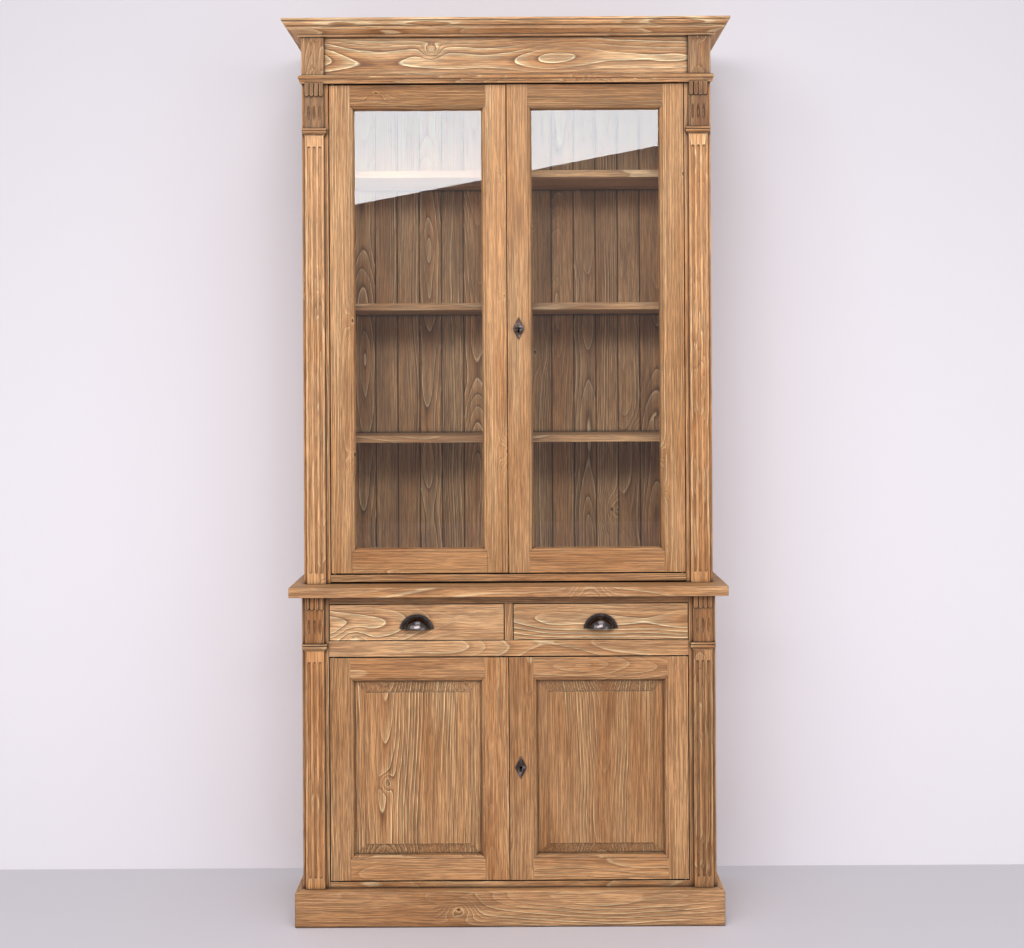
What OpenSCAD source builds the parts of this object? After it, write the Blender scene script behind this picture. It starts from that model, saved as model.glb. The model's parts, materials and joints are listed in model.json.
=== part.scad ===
// Glazed dresser bookcase: a shelved upper case with two glass doors
// standing on a base with two drawers and two raised-panel doors.
// Millimetres, +Z up, front faces -Y, origin on the floor under the centre.

/* [Overall] */
// Height from the floor to the top of the cornice
total_h = 2200; // [1900:10:2500]
// Width over the two side panels
body_w = 1004; // [880:2:1300]
// Height of the worktop's upper face
worktop_h = 821; // [700:1:900]

/* [Worktop] */
// Depth from front edge to back edge
worktop_d = 400; // [360:5:520]
// Thickness of the worktop
worktop_t = 24; // [18:1:36]
// Overhang past each side panel
worktop_over = 28; // [10:1:50]

/* [Carcass] */
// Distance from the worktop's front edge back to the base posts
base_setback = 36; // [30:1:60]
// Distance from the worktop's front edge back to the upper posts
upper_setback = 78; // [60:1:110]
// Width of a front post
post_w = 65; // [60:1:90]
// Hairline left open in a mitre or between the boards of a drawer box
hairline = 0.2; // [0.1:0.05:0.4]
// Thickness of posts, rails and the frieze board
frame_t = 22; // [18:1:30]
// Thickness of a side panel
side_t = 20; // [15:1:28]
// Thickness of shelves, floors and the top board
shelf_t = 18; // [15:1:28]
// Thickness of the tongued back boards
back_t = 12; // [10:1:18]
// Distance from a back board's rear face to the back of the case
back_inset = 2; // [0:1:10]
// Covered width of one back board
back_pitch = 58.5; // [45:0.5:110]
// Gap between neighbouring back boards
back_gap = 0.3; // [0.2:0.1:1]
// Size of the V groove's bevel on a back board
back_bevel = 2; // [1:0.5:3]
// Length of a back board's tongue
tongue_l = 5; // [3:0.5:8]
// Thickness of a back board's tongue
tongue_t = 4; // [3:0.5:5]

/* [Pilasters] */
// Width of a pilaster strip
pilaster_w = 46; // [40:1:60]
// How far a pilaster stands out from its post
pilaster_t = 8; // [5:1:14]
// Distance from the side of the case to the pilaster
pilaster_margin = 8; // [2:1:16]
// Distance between two flutes
flute_pitch = 13.4; // [10:0.2:16]
// Width of a flute
flute_w = 8; // [5:0.5:9]
// Plain length between a flute's end and the pilaster's end
flute_margin = 30; // [20:1:90]
// Height of the upper capital block with its reeds
upper_capital_h = 111; // [90:1:140]
// Height of the base capital block with its reeds
base_capital_h = 116; // [90:1:140]
// Height of the reeded part of a capital
reed_h = 33; // [20:1:50]
// Number of reeds on a capital
reed_n = 4; // [3:1:6]
// How far the reeds stand out from the capital
reed_out = 4; // [2:0.5:6]
// Length of a gouge cut under the reeds
gouge_l = 36; // [20:1:50]
// Depth of a gouge cut
gouge_d = 3; // [1:0.5:5]
// Radius of the gouge's hollow
gouge_r = 4.5; // [3:0.5:6]
// Height of the necking bead under a capital
necking_h = 17; // [12:1:24]
// Width of the necking bead
necking_w = 61; // [50:1:64]
// How far the necking bead stands out from the post
necking_out = 13; // [10:1:18]
// Share of the necking bead's height that its round takes as radius
necking_round = 0.3; // [0.2:0.05:0.35]
// Height of the flat band over the necking bead
necking_band_h = 3; // [2:0.5:3.5]

/* [Cornice and frieze] */
// Height of the cornice
cornice_h = 37; // [30:1:60]
// Overhang of the cornice past the side panels and pilasters
cornice_out = 43; // [36:1:70]
// Width of the cornice's seat on the case
cornice_seat = 20; // [15:1:22]
// Share of the cornice's height in its fascia and in its foot
cornice_band = 0.14; // [0.08:0.02:0.2]
// Radius of the ovolo under the fascia as a share of the height
cornice_ovolo = 0.3; // [0.2:0.02:0.34]
// Step beside the ovolo as a share of the overhang
cornice_step = 0.06; // [0.03:0.01:0.1]
// Fillet under the ovolo as a share of the height
cornice_fillet = 0.22; // [0.04:0.02:0.24]
// Radius of the cove as a share of the height
cornice_cove = 0.17; // [0.14:0.01:0.24]
// How far the cove's centre stands past the fillet, as a share of the height
cornice_cove_out = 0.032; // [0.02:0.004:0.05]
// Height of the frieze board, moulding included
frieze_h = 114; // [90:1:160]
// Height of the moulding along the frieze's lower edge
mould_h = 20; // [14:1:30]
// How far that moulding stands out past the pilasters and sides
mould_out = 8; // [4:1:16]
// Radius of that moulding's nose as a share of its height
mould_nose = 0.2; // [0.1:0.02:0.25]
// Height of the nose's centre as a share of the moulding's height
mould_nose_up = 0.68; // [0.6:0.02:0.75]
// Radius of the cove under the nose as a share of the moulding's height
mould_cove = 0.432; // [0.3:0.004:0.5]
// How far the cove's centre stands out, as a share of that height
mould_cove_out = 0.288; // [0.2:0.004:0.34]
// Width of a corner pad on the frieze
pad_w = 55; // [46:1:70]
// Width of the hipped block on a corner pad
hip_w = 38; // [24:1:42]
// Height of the hipped block's ridge over the pad
hip_out = 9; // [4:1:14]
// Margin above and below the hipped block
hip_margin = 7; // [3:1:16]

/* [Plinth] */
// Height of the plinth
plinth_h = 87; // [60:1:120]
// Distance from the worktop's front edge back to the plinth
plinth_setback = 8; // [4:1:20]
// Thickness of the plinth's side boards
plinth_side_t = 17; // [12:1:22]
// Size of the bevel along the plinth's upper edge
plinth_bevel = 4; // [2:0.5:8]

/* [Rails] */
// Height of the base's bottom rail above the plinth
base_rail_h = 15; // [10:1:40]
// Depth to which that rail reaches down behind the plinth
base_rail_drop = 17; // [10:1:40]
// Height of the rail under the worktop
top_rail_h = 20; // [14:1:40]
// Height of the rail between drawers and doors
mid_rail_h = 38; // [30:1:60]
// Width of the divider between the drawers
divider_w = 20; // [16:1:40]
// Shadow gap between the worktop and the upper case's bottom rail
foot_gap = 4; // [2:0.5:10]
// Height of the upper case's bottom rail
foot_rail_h = 18; // [14:1:30]

/* [Doors] */
// Thickness of every door frame
door_t = 22; // [20:1:26]
// Gap above and below a door
door_gap_z = 3; // [2:0.5:5]
// Gap between a door's outer edge and its post
door_gap_x = 2; // [2:0.5:4]
// Gap between the two doors of a pair
meeting_gap = 2; // [1.5:0.5:5]
// Gap between a closed door and the floor board that stops it
door_stop_gap = 0.5; // [0.3:0.1:1]
// Height of a floor board's upper face over the doors' lower edges
floor_lap = 10; // [6:1:16]
// How far a floor board is cut back where the doors' heels swing
heel_relief = 3; // [2:0.5:6]
// Width of that cut inside the opening
heel_w = 30; // [20:1:60]
// Flat width of a glazed door's stiles
glazed_stile_w = 51; // [46:1:80]
// Flat width of a glazed door's rails
glazed_rail_w = 52; // [46:1:90]
// Flat width of a panel door's hinge stile
hinge_stile_w = 49; // [44:1:80]
// Flat width of a panel door's meeting stile
lock_stile_w = 58; // [50:1:80]
// Flat width of a panel door's top rail
panel_rail_top_w = 49; // [44:1:90]
// Flat width of a panel door's bottom rail
panel_rail_bottom_w = 52; // [44:1:90]
// Width of the moulded inner edge of a door frame
stick_w = 10; // [8:0.5:14]
// Width of the flat beside that edge's round
stick_flat = 2; // [1:0.5:3]
// Depth of the step beside the moulded edge
quirk_d = 1.5; // [0.5:0.5:2]
// Depth from the frame's face to the back of the moulded edge
lip_d = 12; // [11:0.5:13]
// Thickness of the glass
glass_t = 4; // [3:0.5:5]
// Clearance between the glass edge and its rebate
glass_clear = 1; // [0.5:0.5:2]
// Width of the bead that holds the glass
bead_w = 9; // [7:0.5:12]
// Thickness of a panel's tongue
panel_tongue_t = 4.6; // [4:0.1:6]
// Clearance of a panel's tongue in its groove
panel_clear = 0.2; // [0.1:0.05:0.3]
// Gap left at a panel's edge for movement
panel_play = 1; // [0.5:0.5:3]
// Width of the bevel round a panel's raised field
bevel_w = 26; // [16:1:40]
// Depth of the raised field's face below the frame's face
field_d = 3.5; // [2:0.5:5]
// Height of the step round the raised field
field_step = 1.5; // [0.5:0.5:2.5]
// Length of a frame tenon
tenon_l = 25; // [15:1:30]
// Thickness of a frame tenon
tenon_t = 7; // [5:0.5:9]
// Depth from the face to a frame tenon
tenon_d = 8; // [6:0.5:10]
// Shoulder above and below a frame tenon
tenon_shoulder = 10; // [6:1:16]
// Clearance round a tenon in its mortise
tenon_clear = 0.2; // [0.1:0.05:0.4]

/* [Door pivots] */
// Distance from a door's outer edge to its pivot
pivot_x = 8; // [7:0.5:12]
// Distance from a door's face back to its pivot
pivot_y = 5; // [4.5:0.5:6]
// Radius of a pivot pin
pivot_r = 2.5; // [1.5:0.1:3]
// Radial clearance of a pivot pin in its socket
pivot_clear = 0.05; // [0.03:0.01:0.1]
// Length of a pivot pin inside the door
pivot_l = 10; // [6:1:16]
// Radius of the collar that carries the door
collar_r = 4; // [3.5:0.1:4.4]
// Length of a pivot plate
plate_l = 36; // [26:1:60]
// Thickness of a pivot plate
plate_t = 1.6; // [1:0.1:2.5]
// Gap between a collar and the door's plate
collar_gap = 0.3; // [0.2:0.1:0.5]
// Distance from a door's outer edge to its pivot plate
plate_edge = 3; // [2:0.5:3.5]
// How far the plate's front edge stands back from the collar's
plate_set_back = 0.5; // [0.2:0.1:1]
// Width of the plate behind the collar
plate_rear = 2; // [1:0.5:4]
// Clearance round a pin or rod where nothing bears on it
bore_clear = 0.3; // [0.2:0.1:0.4]

/* [Drawers] */
// Height of the drawer opening
drawer_open_h = 90; // [70:1:160]
// Gap round a drawer front
drawer_gap = 2; // [1.5:0.5:4]
// Thickness of a drawer's sides and back
drawer_side_t = 12; // [9:1:15]
// Length of the drawer box behind its front
drawer_box_l = 292; // [240:1:310]
// Height of the drawer box
drawer_box_h = 70; // [50:1:72]
// How far the box is set in from the front's end
drawer_inset = 1; // [0.5:0.5:3]
// Thickness of the drawer bottom
drawer_bottom_t = 5; // [4:0.5:8]
// Height of the drawer bottom over the box's lower edge
drawer_bottom_up = 8; // [5:1:14]
// Depth of the groove that holds the drawer bottom
drawer_groove = 5; // [3:0.5:7]
// Clearance under and beside the drawer box
runner_clear = 0.3; // [0.2:0.1:1]
// Width of a runner under a drawer's side
runner_w = 26; // [16:1:40]
// Thickness of a runner
runner_t = 20; // [14:1:28]
// Height of the guide beside a drawer
guide_h = 25; // [12:1:40]
// Width of the guide beside a drawer
guide_w = 14; // [8:1:24]

/* [Pulls] */
// Width of a cup pull over its flange
pull_w = 82; // [60:1:110]
// Height of a cup pull over its flange
pull_h = 35; // [30:1:44]
// Width of the flange round the cup
pull_flange_w = 5; // [4:0.5:10]
// Thickness of the flange and the cup's wall
pull_wall = 2; // [1.5:0.1:3]
// How far the cup stands out from the drawer
pull_out = 24; // [16:1:26]
// Height of the cup's lower edge over the drawer front's lower edge
pull_up = 27; // [12:1:40]
// Radius of a fixing stud
stud_r = 2; // [1.5:0.1:2.3]
// Radius of the nut on a fixing stud
nut_r = 5; // [4:0.5:7]
// Thickness of the nut
nut_t = 3; // [2:0.5:5]
// Clearance round a fixing stud
stud_clear = 0.1; // [0.05:0.05:0.3]
// Distance from the middle of the flange in to a stud
stud_in = 1; // [0.5:0.5:2]
// Height of a stud's lowest point over the cup's lower edge
stud_up = 1.5; // [1:0.5:4]

/* [Locks] */
// Width of an escutcheon
escutcheon_w = 28; // [20:1:44]
// Height of an escutcheon
escutcheon_h = 54; // [36:1:80]
// Thickness of an escutcheon
escutcheon_t = 1.6; // [1:0.1:3]
// Distance from the case's centre line to a keyhole
keyhole_x = 28; // [24:1:32]
// Height of the upper keyhole
upper_keyhole_z = 1446; // [1300:1:1500]
// Height of the base keyhole
base_keyhole_z = 378; // [300:1:460]
// Radius of a keyhole
keyhole_r = 3.4; // [3.2:0.1:4]
// Width of the keyhole's slot
keyhole_slot_w = 3.6; // [3.2:0.1:5]
// Length of the keyhole's slot below its centre
keyhole_slot_l = 10.5; // [10:0.5:13]
// Width of a lock case
case_w = 38; // [37:1:44]
// Height of a lock case
case_h = 56; // [50:1:70]
// Depth of a lock case behind the door
case_t = 12; // [11:0.5:14]
// Wall of a lock case
case_wall = 1.4; // [1:0.1:2]
// Height of a lock bolt
bolt_h = 12; // [8:1:14]
// Thickness of a lock bolt
bolt_t = 4; // [3:0.5:5]
// Length of a lock bolt
bolt_l = 26; // [22:1:28]
// Clearance round a lock bolt
bolt_clear = 0.3; // [0.2:0.1:0.5]
// Height of a lock bolt's lower edge over the keyhole's centre
bolt_up = 5; // [4:0.5:8]
// Radius of the key's shank
key_r = 2.5; // [1.5:0.1:2.8]
// Radius of the shank's tip in the case's back plate
key_tip_r = 2; // [1:0.1:2.2]
// Radial clearance of the shank's tip
key_clear = 0.05; // [0.03:0.01:0.1]
// Radius of the key's bow
bow_r = 10; // [8:0.5:14]
// Radius of the opening in the bow
bow_hole_r = 6; // [4:0.5:7]
// Thickness of the key's bow and bit
bow_t = 2.6; // [2:0.1:3.2]
// Distance from the door's face to the bow's near edge
bow_reach = 14; // [6:1:20]
// Reach of the key's bit from the shank's axis
bit_l = 9; // [7:0.5:9.5]
// Radius of the collar on the shank beside the bow
key_collar_r = 3.5; // [3:0.1:5]
// Length of that collar in front of the bow's edge
key_collar_l = 2; // [1:0.5:3]
// How far the shank and its collar run into the bow
key_in = 1; // [0.5:0.5:2]

/* [Slide bolts] */
// Radius of a slide bolt's rod
rod_r = 3; // [2.5:0.1:4]
// Length of a slide bolt's rod
rod_l = 90; // [60:1:140]
// Travel of a slide bolt
rod_travel = 12; // [8:1:16]
// Radial clearance of the rod in its bore
rod_clear = 0.08; // [0.05:0.01:0.1]
// Distance from a door's meeting edge to the rod
rod_x = 13; // [11:0.5:16]
// Depth from the door's face to the rod
rod_y = 13; // [11:0.5:14]
// Radius of the rod's thumb pin
thumb_r = 2; // [1.5:0.1:2.4]
// Radius of the thumb pin's knob
knob_r = 5; // [4:0.5:7]
// Thickness of the knob
knob_t = 4; // [3:0.5:6]
// Gap between the door's back and the knob
knob_gap = 1; // [0.5:0.5:2]
// Height of the thumb pin over the rod's lower end
thumb_up = 8; // [5:1:14]
// Clearance below and above the thumb pin's travel
thumb_play = 0.5; // [0.3:0.1:1]
// Depth of the bore below the rod's lower end
bore_below = 2; // [1:0.5:4]
// How far a drawn rod's end stands below the door's upper edge
rod_set_back = 0.5; // [0.3:0.1:1]

/* [Shelves] */
// Number of shelves in the upper case
shelf_n = 3; // [1:1:5]
// Height of the upper case's lowest shelf, at its upper face
shelf_first_z = 1182; // [1000:1:1300]
// Distance from one upper shelf to the next
shelf_step = 331; // [200:1:360]
// Height of the base's shelf, at its upper face
base_shelf_z = 372; // [200:1:500]
// Distance from a shelf's front edge to the back of the door
shelf_set_in = 45; // [20:1:120]
// Clearance at each end of a shelf
shelf_clear = 0.5; // [0.3:0.1:2]
// Radius of a shelf pin
pin_r = 3; // [2:0.5:4]
// Length of a shelf pin inside the side panel
pin_in = 10; // [6:1:14]
// Length of a shelf pin under the shelf
pin_out = 9; // [6:1:14]
// Distance from a shelf's edge to its pins
pin_inset = 35; // [20:1:60]
// Radial clearance of a shelf pin
pin_clear = 0.05; // [0.02:0.01:0.2]
// Radius of a dowel between worktop and upper case
dowel_r = 5; // [3:0.5:6]
// Length of a dowel in each of the two parts
dowel_l = 15; // [8:1:17]
// Distance from the upper side panel's end to a dowel
dowel_inset = 60; // [30:1:110]

/* [Hidden] */
$fn = 48;
tiny = 0.01;
// Overrun of a cutter past the face that it opens
past = 1;

half_w = body_w / 2;
back_y = worktop_d / 2;
front_y = -worktop_d / 2;
base_y = front_y + base_setback;
upper_y = front_y + upper_setback;
inner_x = half_w - side_t;
open_x = half_w - post_w;
open_w = 2 * open_x;
pilaster_x = half_w - pilaster_margin - pilaster_w / 2;
board_y0 = back_y - back_inset - back_t;

case_top_z = total_h - cornice_h;
head_z = case_top_z - frieze_h;
worktop_z = worktop_h - worktop_t;
foot_z = worktop_h + foot_gap + foot_rail_h;
drawer_top_z = worktop_z - top_rail_h;
mid_top_z = drawer_top_z - drawer_open_h;
mid_z = mid_top_z - mid_rail_h;
base_rail_z = plinth_h + base_rail_h;

door_x = open_x - door_gap_x;
upper_door_z = foot_z + door_gap_z;
upper_door_h = head_z - door_gap_z - upper_door_z;
base_door_z = base_rail_z + door_gap_z;
base_door_h = mid_z - door_gap_z - base_door_z;

upper_floor_z = upper_door_z + floor_lap;
base_floor_z = base_door_z + floor_lap;

drawer_w = (open_w - divider_w) / 2 - 2 * drawer_gap;
drawer_x = divider_w / 2 + drawer_gap;
drawer_z = mid_top_z + drawer_gap;
drawer_h = drawer_open_h - 2 * drawer_gap;
box_z = mid_top_z + runner_clear;
box_x0 = drawer_x + drawer_inset;
box_x1 = drawer_x + drawer_w - drawer_inset;
box_y0 = base_y + frame_t;
box_y1 = box_y0 + drawer_box_l;

pull_r = (pull_w * pull_w / 4 + pull_h * pull_h) / (2 * pull_h);
pull_z = drawer_z + pull_up;
pull_mid_z = pull_z + pull_h - pull_r;
stud_ring_r = pull_r - pull_flange_w / 2 - stud_in;
stud_z = pull_z + stud_r + stud_up;
stud_x = sqrt(pow(stud_ring_r, 2) - pow(stud_z - pull_mid_z, 2));

pine = "#c79a68";
pine_dark = "#8a6a4e";
iron = "#3b3433";
steel = "#9a9a9c";

// A box from one corner to the opposite one
module block(p0, p1) {
  translate(p0) cube(p1 - p0);
}

// The same piece on both sides of the centre line
module both_sides() {
  children();
  mirror([1, 0, 0]) children();
}

// An outline in (x, y) raised from z0 to z1
module raised(z0, z1) {
  translate([0, 0, z0]) linear_extrude(z1 - z0) children();
}

// An outline in (y, z) run along X from x0 to x1
module run_x(x0, x1) {
  translate([x0, 0, 0]) rotate([90, 0, 90]) linear_extrude(x1 - x0) children();
}

// An outline in (x, z) run along Y from y0 to y1
module run_y(y0, y1) {
  translate([0, y1, 0]) rotate([90, 0, 0]) linear_extrude(y1 - y0) children();
}

// A cylinder along Y from y0 to y1
module rod_y(x, z, r, y0, y1) {
  translate([x, y1, z]) rotate([90, 0, 0]) cylinder(r = r, h = y1 - y0);
}

// Holes in the side panels for one shelf's pins, or the pins themselves
module pins_for(top_z, door_back_y, clear) {
  y0 = door_back_y + shelf_set_in + pin_inset;
  for (y = [y0, board_y0 - pin_inset])
    translate([inner_x - pin_out, y, top_z - shelf_t - pin_r])
      rotate([0, 90, 0])
        cylinder(r = pin_r + clear, h = pin_out + pin_in + clear);
}

module upper_shelf_pins(clear) {
  for (i = [0 : shelf_n - 1])
    pins_for(shelf_first_z + i * shelf_step, upper_y + door_t, clear);
}

module base_shelf_pins(clear) {
  pins_for(base_shelf_z, base_y + door_t, clear);
}

module dowel_pair(clear) {
  for (y = [upper_y + frame_t + dowel_inset, back_y - dowel_inset])
    translate([half_w - side_t / 2, y, worktop_h - dowel_l - clear])
      cylinder(r = dowel_r + clear, h = 2 * (dowel_l + clear));
}

// Base carcass

module base_sides() {
  color(pine) both_sides() difference() {
    block([inner_x, base_y + frame_t, 0], [half_w, back_y, worktop_z]);
    base_shelf_pins(pin_clear);
  }
}

module base_posts() {
  color(pine) both_sides()
    block([open_x, base_y, 0], [half_w, base_y + frame_t, worktop_z]);
}

// A fluted strip on a post whose face is at face_y
module pilaster(face_y, z0, z1) {
  difference() {
    translate([pilaster_x - pilaster_w / 2, face_y - pilaster_t, z0])
      cube([pilaster_w, pilaster_t, z1 - z0]);
    for (i = [-1 : 1])
      translate([pilaster_x + i * flute_pitch, face_y - pilaster_t, 0]) {
        raised(z0 + flute_margin, z1 - flute_margin) circle(d = flute_w);
        for (z = [z0 + flute_margin, z1 - flute_margin])
          translate([0, 0, z]) sphere(d = flute_w);
      }
  }
}

module base_pilasters() {
  color(pine) both_sides()
    pilaster(base_y, plinth_h, worktop_z - base_capital_h - necking_h);
}

module base_rails() {
  color(pine) difference() {
    union() {
      block([-open_x, base_y, plinth_h - base_rail_drop],
            [open_x, base_y + frame_t, base_rail_z]);
      block([-open_x, base_y, mid_z], [open_x, base_y + frame_t, mid_top_z]);
      block([-open_x, base_y, drawer_top_z],
            [open_x, base_y + frame_t, worktop_z]);
    }
    both_sides() {
      plate_at(base_y, base_rail_z, -1, tiny);
      plate_at(base_y, mid_z, 1, tiny);
    }
    rod_socket(base_y, mid_z);
  }
}

module drawer_divider() {
  color(pine) block([-divider_w / 2, base_y, mid_top_z],
                    [divider_w / 2, base_y + frame_t, drawer_top_z]);
}

module drawer_runners() {
  ledge_z = mid_top_z - runner_t;
  guide_x = box_x1 + runner_clear;
  y0 = base_y + frame_t;
  color(pine_dark) {
    both_sides() {
      block([box_x1 - runner_w, y0, ledge_z], [inner_x, board_y0, mid_top_z]);
      block([guide_x, y0, ledge_z],
            [guide_x + guide_w, board_y0, mid_top_z + guide_h]);
    }
    block([-box_x0 - runner_w, y0, ledge_z],
          [box_x0 + runner_w, board_y0, mid_top_z]);
    block([-box_x0 + runner_clear, y0, ledge_z],
          [box_x0 - runner_clear, board_y0, mid_top_z + guide_h]);
  }
}

// A floor board whose front edge stops the doors behind door_back_y
module floor_board(door_back_y, top_z) {
  edge_y = door_back_y + door_stop_gap;
  difference() {
    block([-inner_x, edge_y, top_z - shelf_t], [inner_x, board_y0, top_z]);
    both_sides()
      block([open_x - heel_w, edge_y - past, top_z - shelf_t - past],
            [inner_x + past, edge_y + heel_relief, top_z + past]);
  }
}

module base_floor() {
  color(pine_dark) floor_board(base_y + door_t, base_floor_z);
}

// Tongued boards side by side, with a joint on the centre line
module back_boards(z0, z1) {
  n = ceil(inner_x / back_pitch);
  mid_y = board_y0 + back_t / 2;
  for (i = [-n : n - 1]) {
    x0 = max(i * back_pitch, -inner_x);
    x1 = min((i + 1) * back_pitch, inner_x) - back_gap;
    raised(z0, z1) difference() {
      union() {
        polygon([[x0, board_y0 + back_bevel], [x0 + back_bevel, board_y0],
                 [x1 - back_bevel, board_y0], [x1, board_y0 + back_bevel],
                 [x1, board_y0 + back_t], [x0, board_y0 + back_t]]);
        if (i < n - 1)
          translate([x1 - tiny, mid_y - tongue_t / 2])
            square([tongue_l + tiny, tongue_t]);
      }
      if (i > -n)
        translate([x0 - past, mid_y - tongue_t / 2 - back_gap])
          square([tongue_l + past + back_gap, tongue_t + 2 * back_gap]);
    }
  }
}

module base_back_boards() {
  color(pine_dark) back_boards(plinth_h, worktop_z);
}

// Plinth outline in (distance out from the carcass, height)
module plinth_outline(t) {
  polygon([[0, 0], [t, 0], [t, plinth_h - plinth_bevel],
           [t - plinth_bevel, plinth_h], [0, plinth_h]]);
}

module plinth() {
  front_t = base_setback - plinth_setback;
  outer_x = half_w + plinth_side_t;
  corner = [[outer_x, base_y - front_t], [half_w, base_y]];
  color(pine) {
    intersection() {
      run_x(-outer_x, outer_x)
        translate([base_y, 0]) mirror([1, 0]) plinth_outline(front_t);
      raised(0, plinth_h)
        polygon([[hairline - corner[0].x, corner[0].y],
                 [corner[0].x - hairline, corner[0].y],
                 [corner[1].x - hairline, corner[1].y],
                 [hairline - corner[1].x, corner[1].y]]);
    }
    both_sides() intersection() {
      run_y(base_y - front_t, back_y)
        translate([half_w, 0]) plinth_outline(plinth_side_t);
      raised(0, plinth_h)
        polygon([corner[0], [outer_x, back_y], [half_w, back_y], corner[1]]);
    }
  }
}

module worktop() {
  color(pine) difference() {
    block([-half_w - worktop_over, front_y, worktop_z],
          [half_w + worktop_over, back_y, worktop_h]);
    both_sides() dowel_pair(pin_clear);
  }
}

// Upper carcass

module upper_sides() {
  color(pine) both_sides() difference() {
    block([inner_x, upper_y + frame_t, worktop_h],
          [half_w, back_y, case_top_z]);
    upper_shelf_pins(pin_clear);
    dowel_pair(pin_clear);
  }
}

module upper_posts() {
  color(pine) both_sides()
    block([open_x, upper_y, worktop_h], [half_w, upper_y + frame_t, head_z]);
}

module upper_pilasters() {
  color(pine) both_sides()
    pilaster(upper_y, worktop_h, head_z - upper_capital_h - necking_h);
}

module upper_foot_rail() {
  color(pine) difference() {
    block([-open_x, upper_y, worktop_h + foot_gap],
          [open_x, upper_y + frame_t, foot_z]);
    both_sides() plate_at(upper_y, foot_z, -1, tiny);
  }
}

module upper_floor() {
  color(pine_dark) floor_board(upper_y + door_t, upper_floor_z);
}

module upper_top() {
  color(pine_dark)
    block([-inner_x, upper_y + frame_t, case_top_z - shelf_t],
          [inner_x, board_y0, case_top_z]);
}

module upper_back_boards() {
  color(pine_dark) back_boards(worktop_h, case_top_z);
}

// A capital block with reeds above and gouges below, on a post at face_y
module capital(face_y, top_z, h) {
  reed_pitch = pilaster_w / reed_n;
  plane_y = face_y - pilaster_t;
  ring_r = (gouge_l * gouge_l / 4 + gouge_d * gouge_d) / (2 * gouge_d);
  gouge_z = (top_z - reed_h + top_z - h) / 2;
  difference() {
    union() {
      translate([pilaster_x - pilaster_w / 2, plane_y, top_z - h])
        cube([pilaster_w, pilaster_t, h]);
      for (i = [0 : reed_n - 1])
        translate([pilaster_x + (i + 0.5) * reed_pitch - pilaster_w / 2,
                   plane_y, top_z - reed_h + reed_pitch / 2])
          intersection() {
            union() {
              cylinder(d = reed_pitch, h = reed_h - reed_pitch / 2);
              sphere(d = reed_pitch);
            }
            translate([-reed_pitch, -reed_out, -reed_h])
              cube([2 * reed_pitch, reed_out + tiny, 2 * reed_h]);
          }
    }
    for (i = [-1 : 1])
      translate([pilaster_x + i * flute_pitch, plane_y + gouge_d - ring_r
                 - gouge_r, gouge_z])
        rotate([0, 90, 0]) rotate_extrude($fn = 96)
          translate([ring_r, 0]) circle(r = gouge_r);
  }
}

module capitals() {
  color(pine) both_sides() {
    capital(upper_y, head_z, upper_capital_h);
    capital(base_y, worktop_z, base_capital_h);
  }
}

// Necking bead outline in (distance out from the post, height)
module necking_outline() {
  bead_r = necking_h * necking_round;
  square([necking_out - bead_r, necking_h]);
  translate([necking_out - bead_r, necking_h - bead_r - necking_band_h])
    circle(r = bead_r);
  translate([0, necking_h - necking_band_h])
    square([necking_out, necking_band_h]);
}

// A short bead with its profile returned at both ends
module necking_bead(face_y, top_z) {
  x0 = pilaster_x - necking_w / 2;
  x1 = pilaster_x + necking_w / 2;
  translate([0, 0, top_z - necking_h]) intersection() {
    run_x(x0, x1) translate([face_y, 0]) mirror([1, 0]) necking_outline();
    run_y(face_y - necking_out, face_y) union() {
      translate([x1 - necking_out, 0]) necking_outline();
      translate([x0 + necking_out, 0]) mirror([1, 0]) necking_outline();
      translate([x0 + necking_out - tiny, 0])
        square([necking_w - 2 * necking_out + 2 * tiny, necking_h]);
    }
  }
}

module necking_beads() {
  color(pine) both_sides() {
    necking_bead(upper_y, head_z - upper_capital_h);
    necking_bead(base_y, worktop_z - base_capital_h);
  }
}

module frieze_board() {
  color(pine) difference() {
    block([-half_w, upper_y, head_z], [half_w, upper_y + frame_t, case_top_z]);
    both_sides() plate_at(upper_y, head_z, 1, tiny);
    rod_socket(upper_y, head_z);
  }
}

// A pad with a hipped block, in the frieze's corner
module frieze_block() {
  z0 = head_z + mould_h;
  pad_y = upper_y - pilaster_t;
  mid_x = half_w - pad_w / 2;
  hip_z0 = z0 + hip_margin;
  hip_z1 = case_top_z - hip_margin;
  block([half_w - pad_w, pad_y, z0], [half_w, upper_y, case_top_z]);
  intersection() {
    raised(hip_z0, hip_z1)
      polygon([[mid_x - hip_w / 2, pad_y + past], [mid_x - hip_w / 2, pad_y],
               [mid_x, pad_y - hip_out], [mid_x + hip_w / 2, pad_y],
               [mid_x + hip_w / 2, pad_y + past]]);
    run_x(mid_x - hip_w, mid_x + hip_w)
      polygon([[pad_y + past, hip_z0], [pad_y, hip_z0],
               [pad_y - hip_out, hip_z0 + hip_w / 2],
               [pad_y - hip_out, hip_z1 - hip_w / 2],
               [pad_y, hip_z1], [pad_y + past, hip_z1]]);
  }
}

module frieze_blocks() {
  color(pine) both_sides() frieze_block();
}

// Moulding outline in (distance out, height): a cove under a nose, with its
// back edge seat behind the plane that the distance is measured from
module mould_outline(seat) {
  nose_r = mould_h * mould_nose;
  nose_z = mould_h * mould_nose_up;
  difference() {
    translate([-seat, 0]) square([seat + mould_out - nose_r, nose_z]);
    translate([mould_out - nose_r + mould_h * mould_cove_out, 0])
      circle(r = mould_h * mould_cove);
  }
  translate([-seat, nose_z - nose_r])
    square([seat + mould_out - nose_r, 2 * nose_r]);
  translate([mould_out - nose_r, nose_z]) circle(r = nose_r);
  translate([-seat, nose_z]) square([seat + mould_out - nose_r, mould_h - nose_z]);
}

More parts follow.
